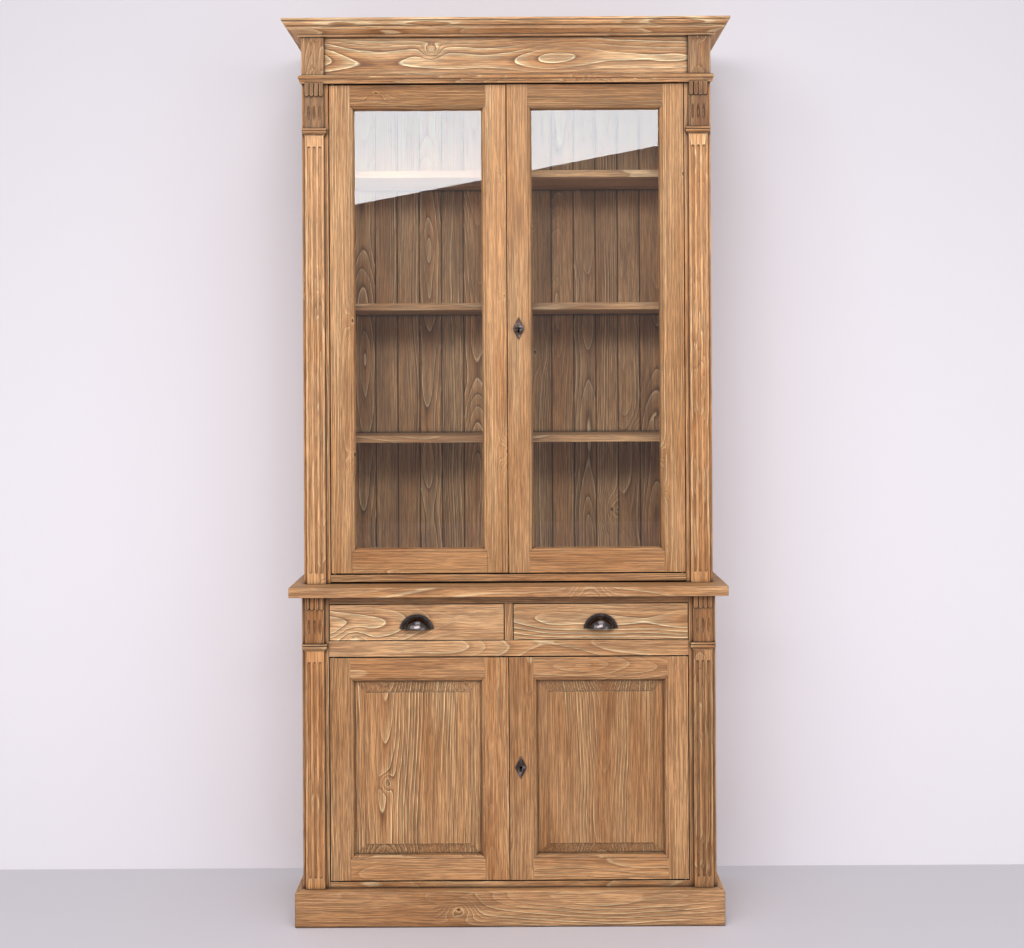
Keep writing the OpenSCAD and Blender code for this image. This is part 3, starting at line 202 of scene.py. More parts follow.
def makeBoardGrain():
    # growth rings round a wandering heart, so that a sawn face shows cathedrals
    v = grainShape
    tree, takes, gives = openGroup(
        "boardGrain", [("Place", "NodeSocketVector")],
        [(n, "NodeSocketFloat") for n in
         ("Cream", "Dark", "Fibre", "Pores", "Cloud", "Stain", "Knot", "KnotRim",
          "Height")])
    place = takes.outputs["Place"]
    drift = put(tree, "ShaderNodeSeparateXYZ")
    feed(tree, drift.inputs[0], noise(tree, place, v["driftStretch"], 2.0, "Color"))
    parts = put(tree, "ShaderNodeSeparateXYZ")
    feed(tree, parts.inputs[0], place)

    spots = put(tree, "ShaderNodeTexVoronoi", voronoi_dimensions="2D")
    cell = (v["knotCell"][0], v["knotCell"][1], 1.0)
    gridPlace = vectors(tree, "DIVIDE", place, cell)
    feed(tree, spots.inputs["Vector"], gridPlace)
    spots.inputs["Scale"].default_value = 1.0
    away = vectors(tree, "MULTIPLY",
                   vectors(tree, "SUBTRACT", gridPlace, spots.outputs["Position"]),
                   (cell[0] * v["knotSquash"], cell[1], 0.0))
    wobble = noise(tree, place, v["wobbleStretch"], 2.0)
    distance = calc(tree, "ADD", vectors(tree, "LENGTH", away),
                    calc(tree, "MULTIPLY", calc(tree, "SUBTRACT", wobble, 0.5),
                         v["knotWobble"]))
    luck = put(tree, "ShaderNodeSeparateColor")
    feed(tree, luck.inputs[0], spots.outputs["Color"])
    present = span(tree, luck.outputs[0], v["knotChance"], v["knotChance"] - 0.01)
    radius = calc(tree, "MULTIPLY_ADD", luck.outputs[1],
                  v["knotRadius"][1] - v["knotRadius"][0], v["knotRadius"][0])
    near = calc(tree, "DIVIDE", distance, calc(tree, "MULTIPLY", radius, v["knotReach"]))
    swell = calc(tree, "EXPONENT", calc(tree, "MULTIPLY",
                 calc(tree, "MULTIPLY", near, near), -1.0))
    swell = calc(tree, "MULTIPLY", calc(tree, "MULTIPLY", swell, present),
                 calc(tree, "MULTIPLY", radius, v["knotPush"]))
    outward = calc(tree, "DIVIDE", distance, radius)
    knot = calc(tree, "MULTIPLY", present, calc(tree, "MULTIPLY",
                span(tree, outward, *v["knotCore"]), span(tree, wobble, *v["knotBroken"])))
    rim = calc(tree, "MULTIPLY", present, calc(tree, "MULTIPLY",
               span(tree, outward, *v["rimInner"]), span(tree, outward, *v["rimOuter"])))

    acrossNow, throughNow = (
        calc(tree, "ADD", parts.outputs[k + 1], calc(
            tree, "MULTIPLY", calc(tree, "SUBTRACT", drift.outputs[k], 0.5), v["heartDrift"][k]))
        for k in (0, 1))
    reach = calc(tree, "SQRT", calc(tree, "ADD",
                 calc(tree, "MULTIPLY", acrossNow, acrossNow),
                 calc(tree, "MULTIPLY", throughNow, throughNow)))
    # where the saw runs along a ring its lines lie far apart, so they are drawn narrower
    crossing = calc(tree, "DIVIDE", calc(tree, "ABSOLUTE", acrossNow), reach)
    reach = calc(tree, "ADD", reach, swell)
    seasons = put(tree, "ShaderNodeTexNoise", noise_dimensions="1D")
    feed(tree, seasons.inputs["W"], reach)
    seasons.inputs["Scale"].default_value = v["ringSpread"][0]
    shiver = noise(tree, place, v["shiverStretch"], 2.0)
    turn = calc(tree, "DIVIDE", reach, v["ringWidth"])
    turn = calc(tree, "MULTIPLY_ADD", seasons.outputs["Fac"], v["ringSpread"][1], turn)
    turn = calc(tree, "MULTIPLY_ADD", shiver,
                calc(tree, "MULTIPLY_ADD", crossing, *v["ringShiver"]), turn)
    ring = calc(tree, "FRACT", turn)

    # a pale line ends each ring, with a haze before it and a dark edge after it
    presence = span(tree, noise(tree, place, v["presenceStretch"], 1.0), *v["presence"])
    line = calc(tree, "MULTIPLY",
                span(tree, ring, calc(tree, "MULTIPLY_ADD", crossing, *v["lineStart"]),
                     calc(tree, "MULTIPLY_ADD", crossing, *v["lineFull"])),
                span(tree, ring, *v["lineEnd"]))
    haze = calc(tree, "MULTIPLY", span(tree, ring, *v["haze"]), v["hazeShare"])
    cream = calc(tree, "MULTIPLY", calc(tree, "MAXIMUM", line, haze), presence)
    dark = calc(tree, "MAXIMUM", span(tree, ring, *v["darkStart"]),
                span(tree, ring, *v["darkEnd"]))
    dark = calc(tree, "MULTIPLY", dark, presence)
    fibre = 0.0
    for stretch, detail, share in v["fibres"]:
        fibre = calc(tree, "MULTIPLY_ADD", noise(tree, place, stretch, detail), share, fibre)
    fibre = span(tree, fibre, *v["fibreSteps"])
    pores = span(tree, noise(tree, place, v["poreStretch"], 1.0), *v["poreSteps"])
    stain = span(tree, noise(tree, place, v["stainStretch"], 4.0), *v["stainSteps"])
    cloud = noise(tree, place, v["cloudStretch"], 3.0)
    height = calc(tree, "MULTIPLY_ADD", cream, v["heights"][0],
                  calc(tree, "MULTIPLY", fibre, v["heights"][1]))
    for label, value in (("Cream", cream), ("Dark", dark), ("Fibre", fibre), ("Pores", pores),
                         ("Cloud", cloud), ("Stain", stain), ("Knot", knot),
                         ("KnotRim", rim), ("Height", height)):
        feed(tree, gives.inputs[label], value)
    return tree


wearAndLightShape = {
    "rubbedAndHighlightAngle": (0.995, 0.90),              # cosines where rubbing and the painted highlight start and are full
    "patchStretch": (14, 60, 60), "patchSteps": (0.35, 0.6), "samples": 4,
    # fine creases, then whole recesses: their reach, and where the dirt and painted shade start
    # and are full
    "hollows": ((2.0, 0.97, 0.60), (6.0, 0.90, 0.35)),
}


def makeWearAndPaintedLight():
    # rubbed arrises, partly painted highlight, and recesses darkened with dirt and painted shade
    v = wearAndLightShape
    tree, takes, gives = openGroup(
        "wearAndPaintedLight", [("Place", "NodeSocketVector"), ("Reach", "NodeSocketFloat")],
        [("RubbedAndHighlight", "NodeSocketFloat"), ("Recess", "NodeSocketFloat")])
    soft = put(tree, "ShaderNodeBevel", samples=v["samples"])
    feed(tree, soft.inputs["Radius"], takes.outputs["Reach"])
    true = put(tree, "ShaderNodeNewGeometry")
    facing = vectors(tree, "DOT_PRODUCT", soft.outputs[0], true.outputs["Normal"])
    patchy = noise(tree, takes.outputs["Place"], v["patchStretch"], 3.0)
    rubbedAndHighlight = calc(tree, "MULTIPLY", span(tree, facing, *v["rubbedAndHighlightAngle"]),
                  span(tree, patchy, *v["patchSteps"]))
    hollows = []
    for wider, start, full in v["hollows"]:
        hollow = put(tree, "ShaderNodeAmbientOcclusion", samples=v["samples"])
        feed(tree, hollow.inputs["Distance"],
             calc(tree, "MULTIPLY", takes.outputs["Reach"], wider))
        hollows.append(span(tree, hollow.outputs["AO"], start, full))
    feed(tree, gives.inputs["RubbedAndHighlight"], rubbedAndHighlight)
    feed(tree, gives.inputs["Recess"], calc(tree, "MAXIMUM", *hollows))
    return tree


boardGrain = makeBoardGrain()
wearAndPaintedLight = makeWearAndPaintedLight()
print("shared effects made")


honeyPine = {
    "deep": ink(192, 134, 82), "light": ink(213, 159, 108),
    "cream": ink(250, 218, 166), "creamShare": 1.0,
    "brown": ink(124, 74, 38), "brownShare": 0.75,
    "stain": ink(140, 84, 44), "stainShare": 0.30,
    "knot": ink(86, 50, 28), "knotShare": 0.85,
    "knotRim": ink(226, 178, 120), "rimShare": 0.75, "poreShare": 0.40,
    "rubbedAndHighlight": ink(238, 200, 152), "rubbedAndHighlightShare": 0.62, "wearAndLightReach": 0.0025,
    "recess": ink(44, 23, 12), "recessShare": 0.94, "recessRough": 0.15,
    "endGrainAndTopShade": 0.50,
    "fibre": (0.622, 1.315),                   # brightness of the darkest and palest fibre
    "roughness": (0.44, 0.62), "sheen": 0.35, "relief": 0.0014, "bump": 0.9,
}
# shallow flutes get less dirt and painted shade, and less rubbed wear and painted highlight, than
# a joint does
flutedPine = dict(honeyPine, recessShare=0.50, rubbedAndHighlightShare=0.35)
shadePine = {
    "deep": ink(164, 114, 71), "light": ink(198, 149, 104),
    "cream": ink(234, 202, 160), "creamShare": 0.90,
    "brown": ink(96, 62, 40), "brownShare": 0.80,
    "stain": ink(104, 72, 50), "stainShare": 0.35,
    "knot": ink(74, 48, 34), "knotShare": 0.85,
    "knotRim": ink(200, 160, 118), "rimShare": 0.75, "poreShare": 0.40,
    "rubbedAndHighlight": ink(204, 168, 128), "rubbedAndHighlightShare": 0.40, "wearAndLightReach": 0.0025,
    "recess": ink(44, 28, 20), "recessShare": 0.92, "recessRough": 0.15,
    "endGrainAndTopShade": 0.35,
    "fibre": (0.658, 1.285),
    "roughness": (0.56, 0.74), "sheen": 0.35, "relief": 0.0011, "bump": 0.9,
}


# what all the pines share: cloudy tones, and end grain from a panel's slope to a cut end
pineSteps = {"cloud": (0.32, 0.68), "slope": (0.06, 0.26), "cutEnd": (0.40, 0.90)}


def makePine(name, v):
    material, tree, shader = openMaterial(name)
    place = put(tree, "ShaderNodeAttribute", attribute_name="boardPlace").outputs["Vector"]
    tone = put(tree, "ShaderNodeAttribute", attribute_name="boardTone").outputs["Vector"]
    figure = put(tree, "ShaderNodeAttribute", attribute_name="boardFigure").outputs["Fac"]
    cutEndAndTopShade = put(tree, "ShaderNodeAttribute", attribute_name="endGrainAndTopShade").outputs["Fac"]
    grain = useGroup(tree, boardGrain, Place=place)
    wearAndLight = useGroup(tree, wearAndPaintedLight, Place=place, Reach=v["wearAndLightReach"])
    colour = mixed(tree, span(tree, grain.outputs["Cloud"], *pineSteps["cloud"]),
                   v["deep"], v["light"])
    dark = calc(tree, "MULTIPLY", grain.outputs["Dark"], figure)
    cream = calc(tree, "MULTIPLY", grain.outputs["Cream"], figure)
    colour = mixed(tree, calc(tree, "MULTIPLY", grain.outputs["Stain"], v["stainShare"]),
                   colour, v["stain"])
    colour = mixed(tree, calc(tree, "MULTIPLY", dark, v["brownShare"]), colour, v["brown"])
    colour = mixed(tree, calc(tree, "MULTIPLY", cream, v["creamShare"]), colour, v["cream"])
    colour = mixed(tree, calc(tree, "MULTIPLY", grain.outputs["KnotRim"], v["rimShare"]),
                   colour, v["knotRim"])
    colour = mixed(tree, calc(tree, "MULTIPLY", grain.outputs["Knot"], v["knotShare"]),
                   colour, v["knot"])
    colour = scaled(tree, colour, span(tree, grain.outputs["Fibre"], 0.0, 1.0, *v["fibre"]))
    colour = mixed(tree, calc(tree, "MULTIPLY", grain.outputs["Pores"], v["poreShare"]),
                   colour, v["brown"])
    # cut ends soak up more stain, and so do the slopes of a panel; a top face marked for it is
    # darkened the same way, as painted shade
    half = 1 - v["endGrainAndTopShade"] / 2
    soakedAndShaded = calc(tree, "MULTIPLY", span(tree, cutEndAndTopShade, *pineSteps["slope"], 1.0, half),
                  span(tree, cutEndAndTopShade, *pineSteps["cutEnd"], 1.0, half))
    colour = vectors(tree, "MULTIPLY", scaled(tree, colour, soakedAndShaded), tone)
    # arrises go paler, as rubbed wear and painted highlight
    colour = mixed(tree, calc(tree, "MULTIPLY", wearAndLight.outputs["RubbedAndHighlight"], v["rubbedAndHighlightShare"]),
                   colour, v["rubbedAndHighlight"])
    # recesses go dark, as dirt and painted shade
    colour = mixed(tree, calc(tree, "MULTIPLY", wearAndLight.outputs["Recess"], v["recessShare"]),
                   colour, v["recess"])
    feed(tree, shader.inputs["Base Color"], colour)
    rough = span(tree, grain.outputs["Fibre"], 0.0, 1.0, *v["roughness"])
    feed(tree, shader.inputs["Roughness"], calc(
        tree, "MULTIPLY_ADD", wearAndLight.outputs["Recess"], v["recessRough"], rough))
    shader.inputs["Specular IOR Level"].default_value = v["sheen"]
    relief(tree, shader, grain.outputs["Height"], v["bump"], v["relief"])
    return material


metals = {
    "blackIron": {"body": ink(82, 76, 76), "worn": ink(150, 140, 134),
                  "dustAndShade": ink(34, 30, 30), "metallic": 1.0, "roughness": (0.16, 0.30),
                  "relief": 0.0002, "patch": 55, "patchShare": 0.24, "wornShare": 0.45,
                  "dustAndShadeShare": 0.6, "reach": 0.0020},
    "darkIron": {"body": ink(26, 22, 21), "worn": ink(84, 76, 70),
                 "dustAndShade": ink(20, 16, 15), "metallic": 0.9, "roughness": (0.40, 0.58),
                 "relief": 0.0002, "patch": 120, "patchShare": 0.30, "wornShare": 0.30,
                 "dustAndShadeShare": 0.4, "reach": 0.0012},
    "wornIron": {"body": ink(74, 62, 56), "worn": ink(150, 140, 142),
                 "dustAndShade": ink(66, 50, 40), "metallic": 0.9, "roughness": (0.34, 0.52),
                 "relief": 0.0003, "patch": 95, "patchShare": 0.75, "wornShare": 0.50,
                 "dustAndShadeShare": 0.3, "reach": 0.0012},
    "dullSteel": {"body": ink(138, 134, 130), "worn": ink(196, 193, 188),
                  "dustAndShade": ink(52, 42, 36), "metallic": 0.95, "roughness": (0.26, 0.5),
                  "relief": 0.0001, "patch": 90, "patchShare": 0.35, "wornShare": 0.5,
                  "dustAndShadeShare": 0.95, "reach": 0.004},
}


# what all the metals share
metalSkin = {
    "wearAndLightStretch": (6, 2, 2),
    "patchSteps": (0.45, 0.70), "roughSteps": (0.35, 0.7),
    "pitStretch": (700, 700, 700), "pitShare": 0.3, "bump": 0.6,
}


def makeMetal(name, v):
    skin = metalSkin
    material, tree, shader = openMaterial(name)
    place = put(tree, "ShaderNodeTexCoord").outputs["Object"]
    wearAndLight = useGroup(tree, wearAndPaintedLight, Reach=v["reach"],
                    Place=vectors(tree, "MULTIPLY", place, skin["wearAndLightStretch"]))
    patches = noise(tree, place, (v["patch"],) * 3, 4.0)
    pits = noise(tree, place, skin["pitStretch"], 2.0)
    colour = mixed(tree, calc(tree, "MULTIPLY", span(tree, patches, *skin["patchSteps"]),
                              v["patchShare"]), v["body"], v["worn"])
    colour = mixed(tree, calc(tree, "MULTIPLY", wearAndLight.outputs["RubbedAndHighlight"], v["wornShare"]),
                   colour, v["worn"])
    # recesses go dark, as dust and painted shade
    colour = mixed(tree, calc(tree, "MULTIPLY", wearAndLight.outputs["Recess"], v["dustAndShadeShare"]),
                   colour, v["dustAndShade"])
    feed(tree, shader.inputs["Base Color"], colour)
    shader.inputs["Metallic"].default_value = v["metallic"]
    feed(tree, shader.inputs["Roughness"],
         span(tree, patches, *skin["roughSteps"], *v["roughness"]))
    height = calc(tree, "ADD", patches, calc(tree, "MULTIPLY", pits, skin["pitShare"]))
    relief(tree, shader, height, skin["bump"], v["relief"])
    return material


paneGlass = {
    "tint": (0.985, 0.995, 0.99, 1), "shadowTint": (0.93, 0.95, 0.94, 1), "index": 1.46,
    "filmStretch": (5, 5, 9), "filmSteps": (0.4, 0.75), "roughness": (0.0, 0.02),
    "waveStretch": (7, 7, 4), "wave": 0.00002, "bump": 0.3,
}


def makeGlass():
    # light passes straight through for shadows, so the shelves are lit
    v = paneGlass
    material, tree, shader = openMaterial("clearPane")
    shader.inputs["Base Color"].default_value = v["tint"]
    shader.inputs["IOR"].default_value = v["index"]
    shader.inputs["Transmission Weight"].default_value = 1.0
    place = put(tree, "ShaderNodeTexCoord").outputs["Object"]
    film = noise(tree, place, v["filmStretch"], 3.0)
    feed(tree, shader.inputs["Roughness"],
         span(tree, film, *v["filmSteps"], *v["roughness"]))
    relief(tree, shader, noise(tree, place, v["waveStretch"], 1.0), v["bump"], v["wave"])
    path = put(tree, "ShaderNodeLightPath")
    clearWhere(tree, shader, calc(tree, "MAXIMUM", path.outputs["Is Shadow Ray"],
                                  path.outputs["Is Diffuse Ray"]), v["shadowTint"])
    return material


# one for each slot of the record, and the scene's own three
finishes = {
    "pine": makePine("honeyPine", honeyPine),
    "flutedPine": makePine("flutedPine", flutedPine),
    "pine_inside": makePine("shadePine", shadePine),
    "black_iron": makeMetal("blackIron", metals["blackIron"]),
    "wornIron": makeMetal("wornIron", metals["wornIron"]),
    "darkIron": makeMetal("darkIron", metals["darkIron"]),
    "steel": makeMetal("dullSteel", metals["dullSteel"]),
    "glass": makeGlass(),
}
slotOf = {part["node"]: part["material_slot"] for part in frame["record"]["subparts"]}
bodyOf = {node: body for body, nodes in frame["record"]["behaviour"]["bodies"].items()
          for node in nodes}
print("finishes made:", ", ".join(finishes))


# how edges are eased: metres, degrees, and a share of the shortest edge beside it
easing = {"weld": 0.00001, "flat": 0.4, "arris": 40, "room": 0.45, "smooth": 48}


def cleanCopy(node):
    source = frame["nodes"][node]
    piece = bpy.data.objects.new("dressed_" + node, source.data.copy())
    bpy.context.scene.collection.objects.link(piece)
    piece.data.materials.clear()
    onlyThis(piece)
    bpy.ops.object.mode_set(mode="EDIT")
    bpy.ops.mesh.select_all(action="SELECT")
    bpy.ops.mesh.customdata_custom_splitnormals_clear()
    bpy.ops.mesh.remove_doubles(threshold=easing["weld"])
    bpy.ops.mesh.dissolve_limited(angle_limit=math.radians(easing["flat"]))
    bpy.ops.mesh.normals_make_consistent(inside=False)
    bpy.ops.object.mode_set(mode="OBJECT")
    return piece


def markArrises(mesh, width):
    # outward corners are eased, less beside a short edge, and inward ones stay crisp
    sides = {}
    for face in mesh.polygons:
        corners = list(face.vertices)
        for a, b in zip(corners, corners[1:] + corners[:1]):
            sides.setdefault((min(a, b), max(a, b)), []).append((face.normal, a < b))
    length = [(mesh.vertices[e.vertices[0]].co - mesh.vertices[e.vertices[1]].co).length
              for e in mesh.edges]
    around = [[] for _ in mesh.vertices]
    for edge in mesh.edges:
        for end in edge.vertices:
            around[end].append(edge.index)
    shares = [0.0] * len(mesh.edges)
    bluntest = math.cos(math.radians(easing["arris"]))
    for edge in mesh.edges:
        pair = sides.get(edge.key, [])
        if len(pair) != 2 or pair[0][0].dot(pair[1][0]) > bluntest:
            continue
        way = mesh.vertices[edge.key[1]].co - mesh.vertices[edge.key[0]].co
        if not pair[0][1]:
            way = -way
        if pair[0][0].cross(pair[1][0]).dot(way) <= 0:
            continue
        nearest = min([length[i] for end in edge.vertices for i in around[end]
                       if i != edge.index], default=1.0)
        shares[edge.index] = min(
            1.0, easing["room"] * min(nearest, length[edge.index]) / width)
    layer = mesh.attributes.new("bevel_weight_edge", "FLOAT", "EDGE")
    layer.data.foreach_set("value", shares)


def easeEdges(piece, width, segments):
    onlyThis(piece)
    markArrises(piece.data, width)
    bevel = piece.modifiers.new("arris", "BEVEL")
    bevel.width = width
    bevel.segments = segments
    bevel.limit_method = "WEIGHT"
    bevel.miter_outer = "MITER_SHARP"
    bpy.ops.object.modifier_apply(modifier="arris")
    bpy.ops.object.shade_smooth_by_angle(angle=math.radians(easing["smooth"]))
    level = piece.modifiers.new("flatFaces", "WEIGHTED_NORMAL")
    level.keep_sharp = True
    bpy.ops.object.modifier_apply(modifier="flatFaces")


def solidsOf(mesh):
    # the vertices of each separate board in the mesh
    root = list(range(len(mesh.vertices)))

    def top(i):
        while root[i] != i:
            root[i] = root[root[i]]
            i = root[i]
        return i

    for edge in mesh.edges:
        a, b = top(edge.vertices[0]), top(edge.vertices[1])
        if a != b:
            root[b] = a
    boards = {}
    for i in range(len(root)):
        boards.setdefault(top(i), []).append(i)
    return list(boards.values())


# what a board gets when its piece says nothing else
sawing = {
    "cut": "flat",                             # flat, quarter or mixed
    "flatShare": 0.6,                          # of the boards where cuts are mixed
    "logPlace": (3, 40),                       # where along the log, metres
    "heart": (0.012, 0.045),                   # its depth behind a flat-sawn face
    "heartSpread": 0.4,                        # and how far off the middle, in widths
    "quarterAway": (0.05, 0.1), "quarterDepth": (0.0, 0.03),
    "toneSpread": 0.05, "cool": 0.0, "hueSpread": 0.025, "blueShare": 2.2, "hueSeed": 1000,
    "fine": 1.0,                               # above 1 the rings lie closer
    "figure": 0.6,                             # strength of lines and dark edges
    "soak": 1.0,                               # how much a cut end darkens
    "topShade": 0.0, "topFrom": 0.9,            # and a top face, darkened as painted shade, from this rise of its normal
    "ease": 0.0012, "easeSteps": 2,
}


def layGrain(piece, v):
    # along, across and through each board, with its own stretch of log
    mesh = piece.data
    chance = random.Random(v["seed"])
    hueChance = random.Random(v["seed"] + v["hueSeed"])
    flat = [0.0] * (3 * len(mesh.vertices))
    mesh.vertices.foreach_get("co", flat)
    placeNow = [0.0] * len(flat)
    toneNow = [1.0] * len(flat)
    alongNow = [0] * len(mesh.vertices)
    boards = solidsOf(mesh)
    boards.sort(key=lambda board: tuple(round(min(flat[3 * i + k] for i in board), 3)
                                        for k in (2, 0, 1)))
    for rank, board in enumerate(boards):         # from the lowest to the highest
        low = [min(flat[3 * i + k] for i in board) for k in range(3)]
        high = [max(flat[3 * i + k] for i in board) for k in range(3)]
        order = sorted(range(3), key=lambda k: low[k] - high[k])
        if "along" in v:
            order.remove("xyz".index(v["along"]))
            order.insert(0, "xyz".index(v["along"]))
        size = [high[k] - low[k] for k in range(3)]
        middle = [(high[k] + low[k]) / 2 for k in range(3)]
        start = chance.uniform(*v["logPlace"])
        if v["cut"] == "flat" or (v["cut"] == "mixed" and chance.random() < v["flatShare"]):
            heartAcross = (chance.uniform(-v["heartSpread"], v["heartSpread"])
                           * size[order[1]])
            heartThrough = chance.uniform(*v["heart"]) + size[order[2]] / 2
        else:                                     # sawn towards the heart: straight lines
            heartAcross = chance.choice((-1, 1)) * (
                size[order[1]] / 2 + chance.uniform(*v["quarterAway"]))
            heartThrough = chance.uniform(*v["quarterDepth"])
        if "heartAt" in v:
            heartAcross, heartThrough = v["heartAt"]
        spread = 1 + chance.uniform(-1, 1) * v["toneSpread"]
        tone = v["tones"][rank] if "tones" in v else v["tone"] * spread
        cool = v["cool"] + hueChance.uniform(-v["hueSpread"], v["hueSpread"])
        for i in board:
            at = [flat[3 * i + k] - middle[k] for k in range(3)]
            placeNow[3 * i] = start + at[order[0]]
            placeNow[3 * i + 1] = (at[order[1]] - heartAcross) * v["fine"]
            placeNow[3 * i + 2] = (at[order[2]] - heartThrough) * v["fine"]
            toneNow[3 * i:3 * i + 3] = [tone, tone * (1 + cool),
                                        tone * (1 + v["blueShare"] * cool)]
            alongNow[i] = order[0]
    layer = mesh.attributes.new("boardPlace", "FLOAT_VECTOR", "POINT")
    layer.data.foreach_set("vector", placeNow)
    layer = mesh.attributes.new("boardTone", "FLOAT_VECTOR", "POINT")
    layer.data.foreach_set("vector", toneNow)
    layer = mesh.attributes.new("boardFigure", "FLOAT", "POINT")
    layer.data.foreach_set("value", [v["figure"]] * len(mesh.vertices))
    # cut ends darken from their stain, and top faces as painted shade
    layer = mesh.attributes.new("endGrainAndTopShade", "FLOAT", "FACE")
    layer.data.foreach_set("value", [
        max(v["soak"] * abs(face.normal[alongNow[face.vertices[0]]]),
            v["topShade"] if face.normal.z > v["topFrom"] else 0.0) for face in mesh.polygons])


def dressWood(node, v):
    v = dict(sawing, **v)
    piece = cleanCopy(node)
    easeEdges(piece, v["ease"], v["easeSteps"])
    layGrain(piece, v)
    piece.data.materials.append(finishes[v.get("finish", slotOf[node])])
    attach(piece, bodyOf[node])
    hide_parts(node)


# tone is a piece's brightness, tones that of its boards from the lowest to the highest,
# and heartAt puts the figure where the photograph shows it
baseCase = {
    "base_sides": {"tone": 0.84, "seed": 101, "figure": 0.7},
    "base_posts": {"tone": 0.78, "seed": 102, "cut": "quarter", "figure": 0.5},
    "base_pilasters": {"tones": (1.08, 0.76), "seed": 103, "ease": 0.0010, "figure": 0.5,
                       "finish": "flutedPine"},
    # the top rail, under the worktop's overhang, is toned darker as painted shadow
    "base_rails": {"tones": (0.92, 0.98, 0.55), "cool": 0.07, "seed": 104, "figure": 0.45},
    "drawer_divider": {"tone": 0.84, "seed": 105, "along": "z"},
    "drawer_runners": {"tone": 0.9, "seed": 106},
    "base_floor": {"tone": 0.95, "seed": 107},
    "base_back_boards": {"tone": 1.0, "seed": 108, "toneSpread": 0.12, "ease": 0.0008,
                         "cut": "mixed"},
    "plinth": {"tone": 0.82, "seed": 109, "ease": 0.0016, "figure": 0.8},
    # the worktop's top face is darkened as painted shade
    "worktop": {"tone": 0.98, "cool": 0.07, "topShade": 0.22, "seed": 110, "ease": 0.0030,
                "easeSteps": 3, "figure": 0.5},
}
upperCase = {
    "upper_sides": {"tone": 0.94, "seed": 201, "figure": 0.7},
    "upper_posts": {"tone": 0.96, "seed": 202, "cut": "quarter", "figure": 0.5},
    "upper_pilasters": {"tone": 1.15, "cool": 0.05, "seed": 203, "ease": 0.0010, "figure": 0.5,
                        "finish": "flutedPine"},
    "upper_foot_rail": {"tone": 0.84, "seed": 204},
    "upper_floor": {"tone": 0.95, "seed": 205},
    "upper_top": {"tone": 0.95, "seed": 206},
    "upper_back_boards": {"tone": 1.0, "seed": 207, "toneSpread": 0.20, "ease": 0.0008,
                          "cut": "mixed", "figure": 0.9},
    "shelves": {"tone": 0.95, "seed": 208, "ease": 0.0015},
    "dowels": {"tone": 1.0, "seed": 209, "ease": 0.0005},
}
crown = {
    "cornice": {"tone": 1.10, "cool": 0.07, "seed": 301, "ease": 0.0008},
    "frieze_board": {"tone": 0.94, "cool": 0.10, "seed": 302, "heart": (0.014, 0.018),
                     "figure": 1.1},
    "frieze_blocks": {"tone": 0.64, "seed": 303, "ease": 0.0008, "soak": 0.3},
    "frieze_moulding": {"tone": 0.86, "seed": 304, "ease": 0.0006},
    "capitals": {"tones": (0.70, 0.66, 0.47, 0.47), "cool": -0.06, "seed": 305, "along": "z",
                 "ease": 0.0006},
    "necking_beads": {"tone": 0.76, "seed": 306, "along": "x", "ease": 0.0006},
}
glazedDoors = {
    "upper_left_stiles": {"tone": 0.95, "seed": 401, "ease": 0.0016, "cut": "quarter",
                          "fine": 1.5},
    "upper_left_rails": {"tones": (0.84, 0.64), "cool": -0.05, "seed": 402, "cut": "quarter",
                         "fine": 1.5},
    "upper_left_beads": {"tone": 1.0, "seed": 403, "ease": 0.0006},
    "upper_right_stiles": {"tone": 0.86, "seed": 404, "ease": 0.0016, "cut": "quarter",
                           "fine": 1.5},
    "upper_right_rails": {"tones": (0.88, 0.66), "seed": 405, "cut": "quarter", "fine": 1.5},
    "upper_right_beads": {"tone": 1.0, "seed": 406, "ease": 0.0006},
}
panelledDoors = {
    "base_left_stiles": {"tones": (0.81, 0.92), "seed": 501, "ease": 0.0016, "cut": "mixed"},
    "base_left_rails": {"tone": 0.84, "seed": 502, "figure": 0.45},
    "base_left_panel": {"tone": 0.80, "seed": 522, "figure": 1.0, "cool": -0.02,
                        "heartAt": (-0.080, 0.030)},
    "base_right_stiles": {"tone": 0.82, "seed": 504, "ease": 0.0016, "cut": "mixed",
                          "figure": 0.4},
    "base_right_rails": {"tone": 0.84, "seed": 505, "figure": 0.45},
    "base_right_panel": {"tone": 0.77, "seed": 506, "figure": 0.85, "fine": 1.3},
}
drawers = {
    "drawer_left_front": {"tone": 1.08, "cool": 0.09, "seed": 601, "ease": 0.0018, "figure": 1.0},
    "drawer_left_box": {"tone": 1.0, "seed": 602},
    "drawer_right_front": {"tone": 0.98, "cool": 0.08, "seed": 635, "ease": 0.0018, "figure": 1.0,
                           "heartAt": (0.012, 0.026)},
    "drawer_right_box": {"tone": 1.0, "seed": 604},
}
for title, group in (("base case", baseCase), ("upper case", upperCase),
                     ("cornice and frieze", crown), ("glazed doors", glazedDoors),
                     ("panelled doors", panelledDoors), ("drawers", drawers)):
    for node, v in group.items():
        dressWood(node, v)
    print(title, "dressed,", len(group), "pieces")


ironwork = {
    "drawer_left_pull": {"ease": 0.0007, "steps": 3, "finish": "black_iron"},
    "drawer_right_pull": {"ease": 0.0007, "steps": 3, "finish": "black_iron"},
    "upper_escutcheon": {"ease": 0.0006, "steps": 2, "finish": "wornIron"},
    "base_escutcheon": {"ease": 0.0006, "steps": 2, "finish": "wornIron"},
    "key": {"ease": 0.0004, "steps": 2, "finish": "darkIron"},
}
for node, v in ironwork.items():
    piece = cleanCopy(node)
    easeEdges(piece, v["ease"], v["steps"])
    piece.data.materials.append(finishes[v["finish"]])
    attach(piece, bodyOf[node])
    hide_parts(node)
print("ironwork dressed")

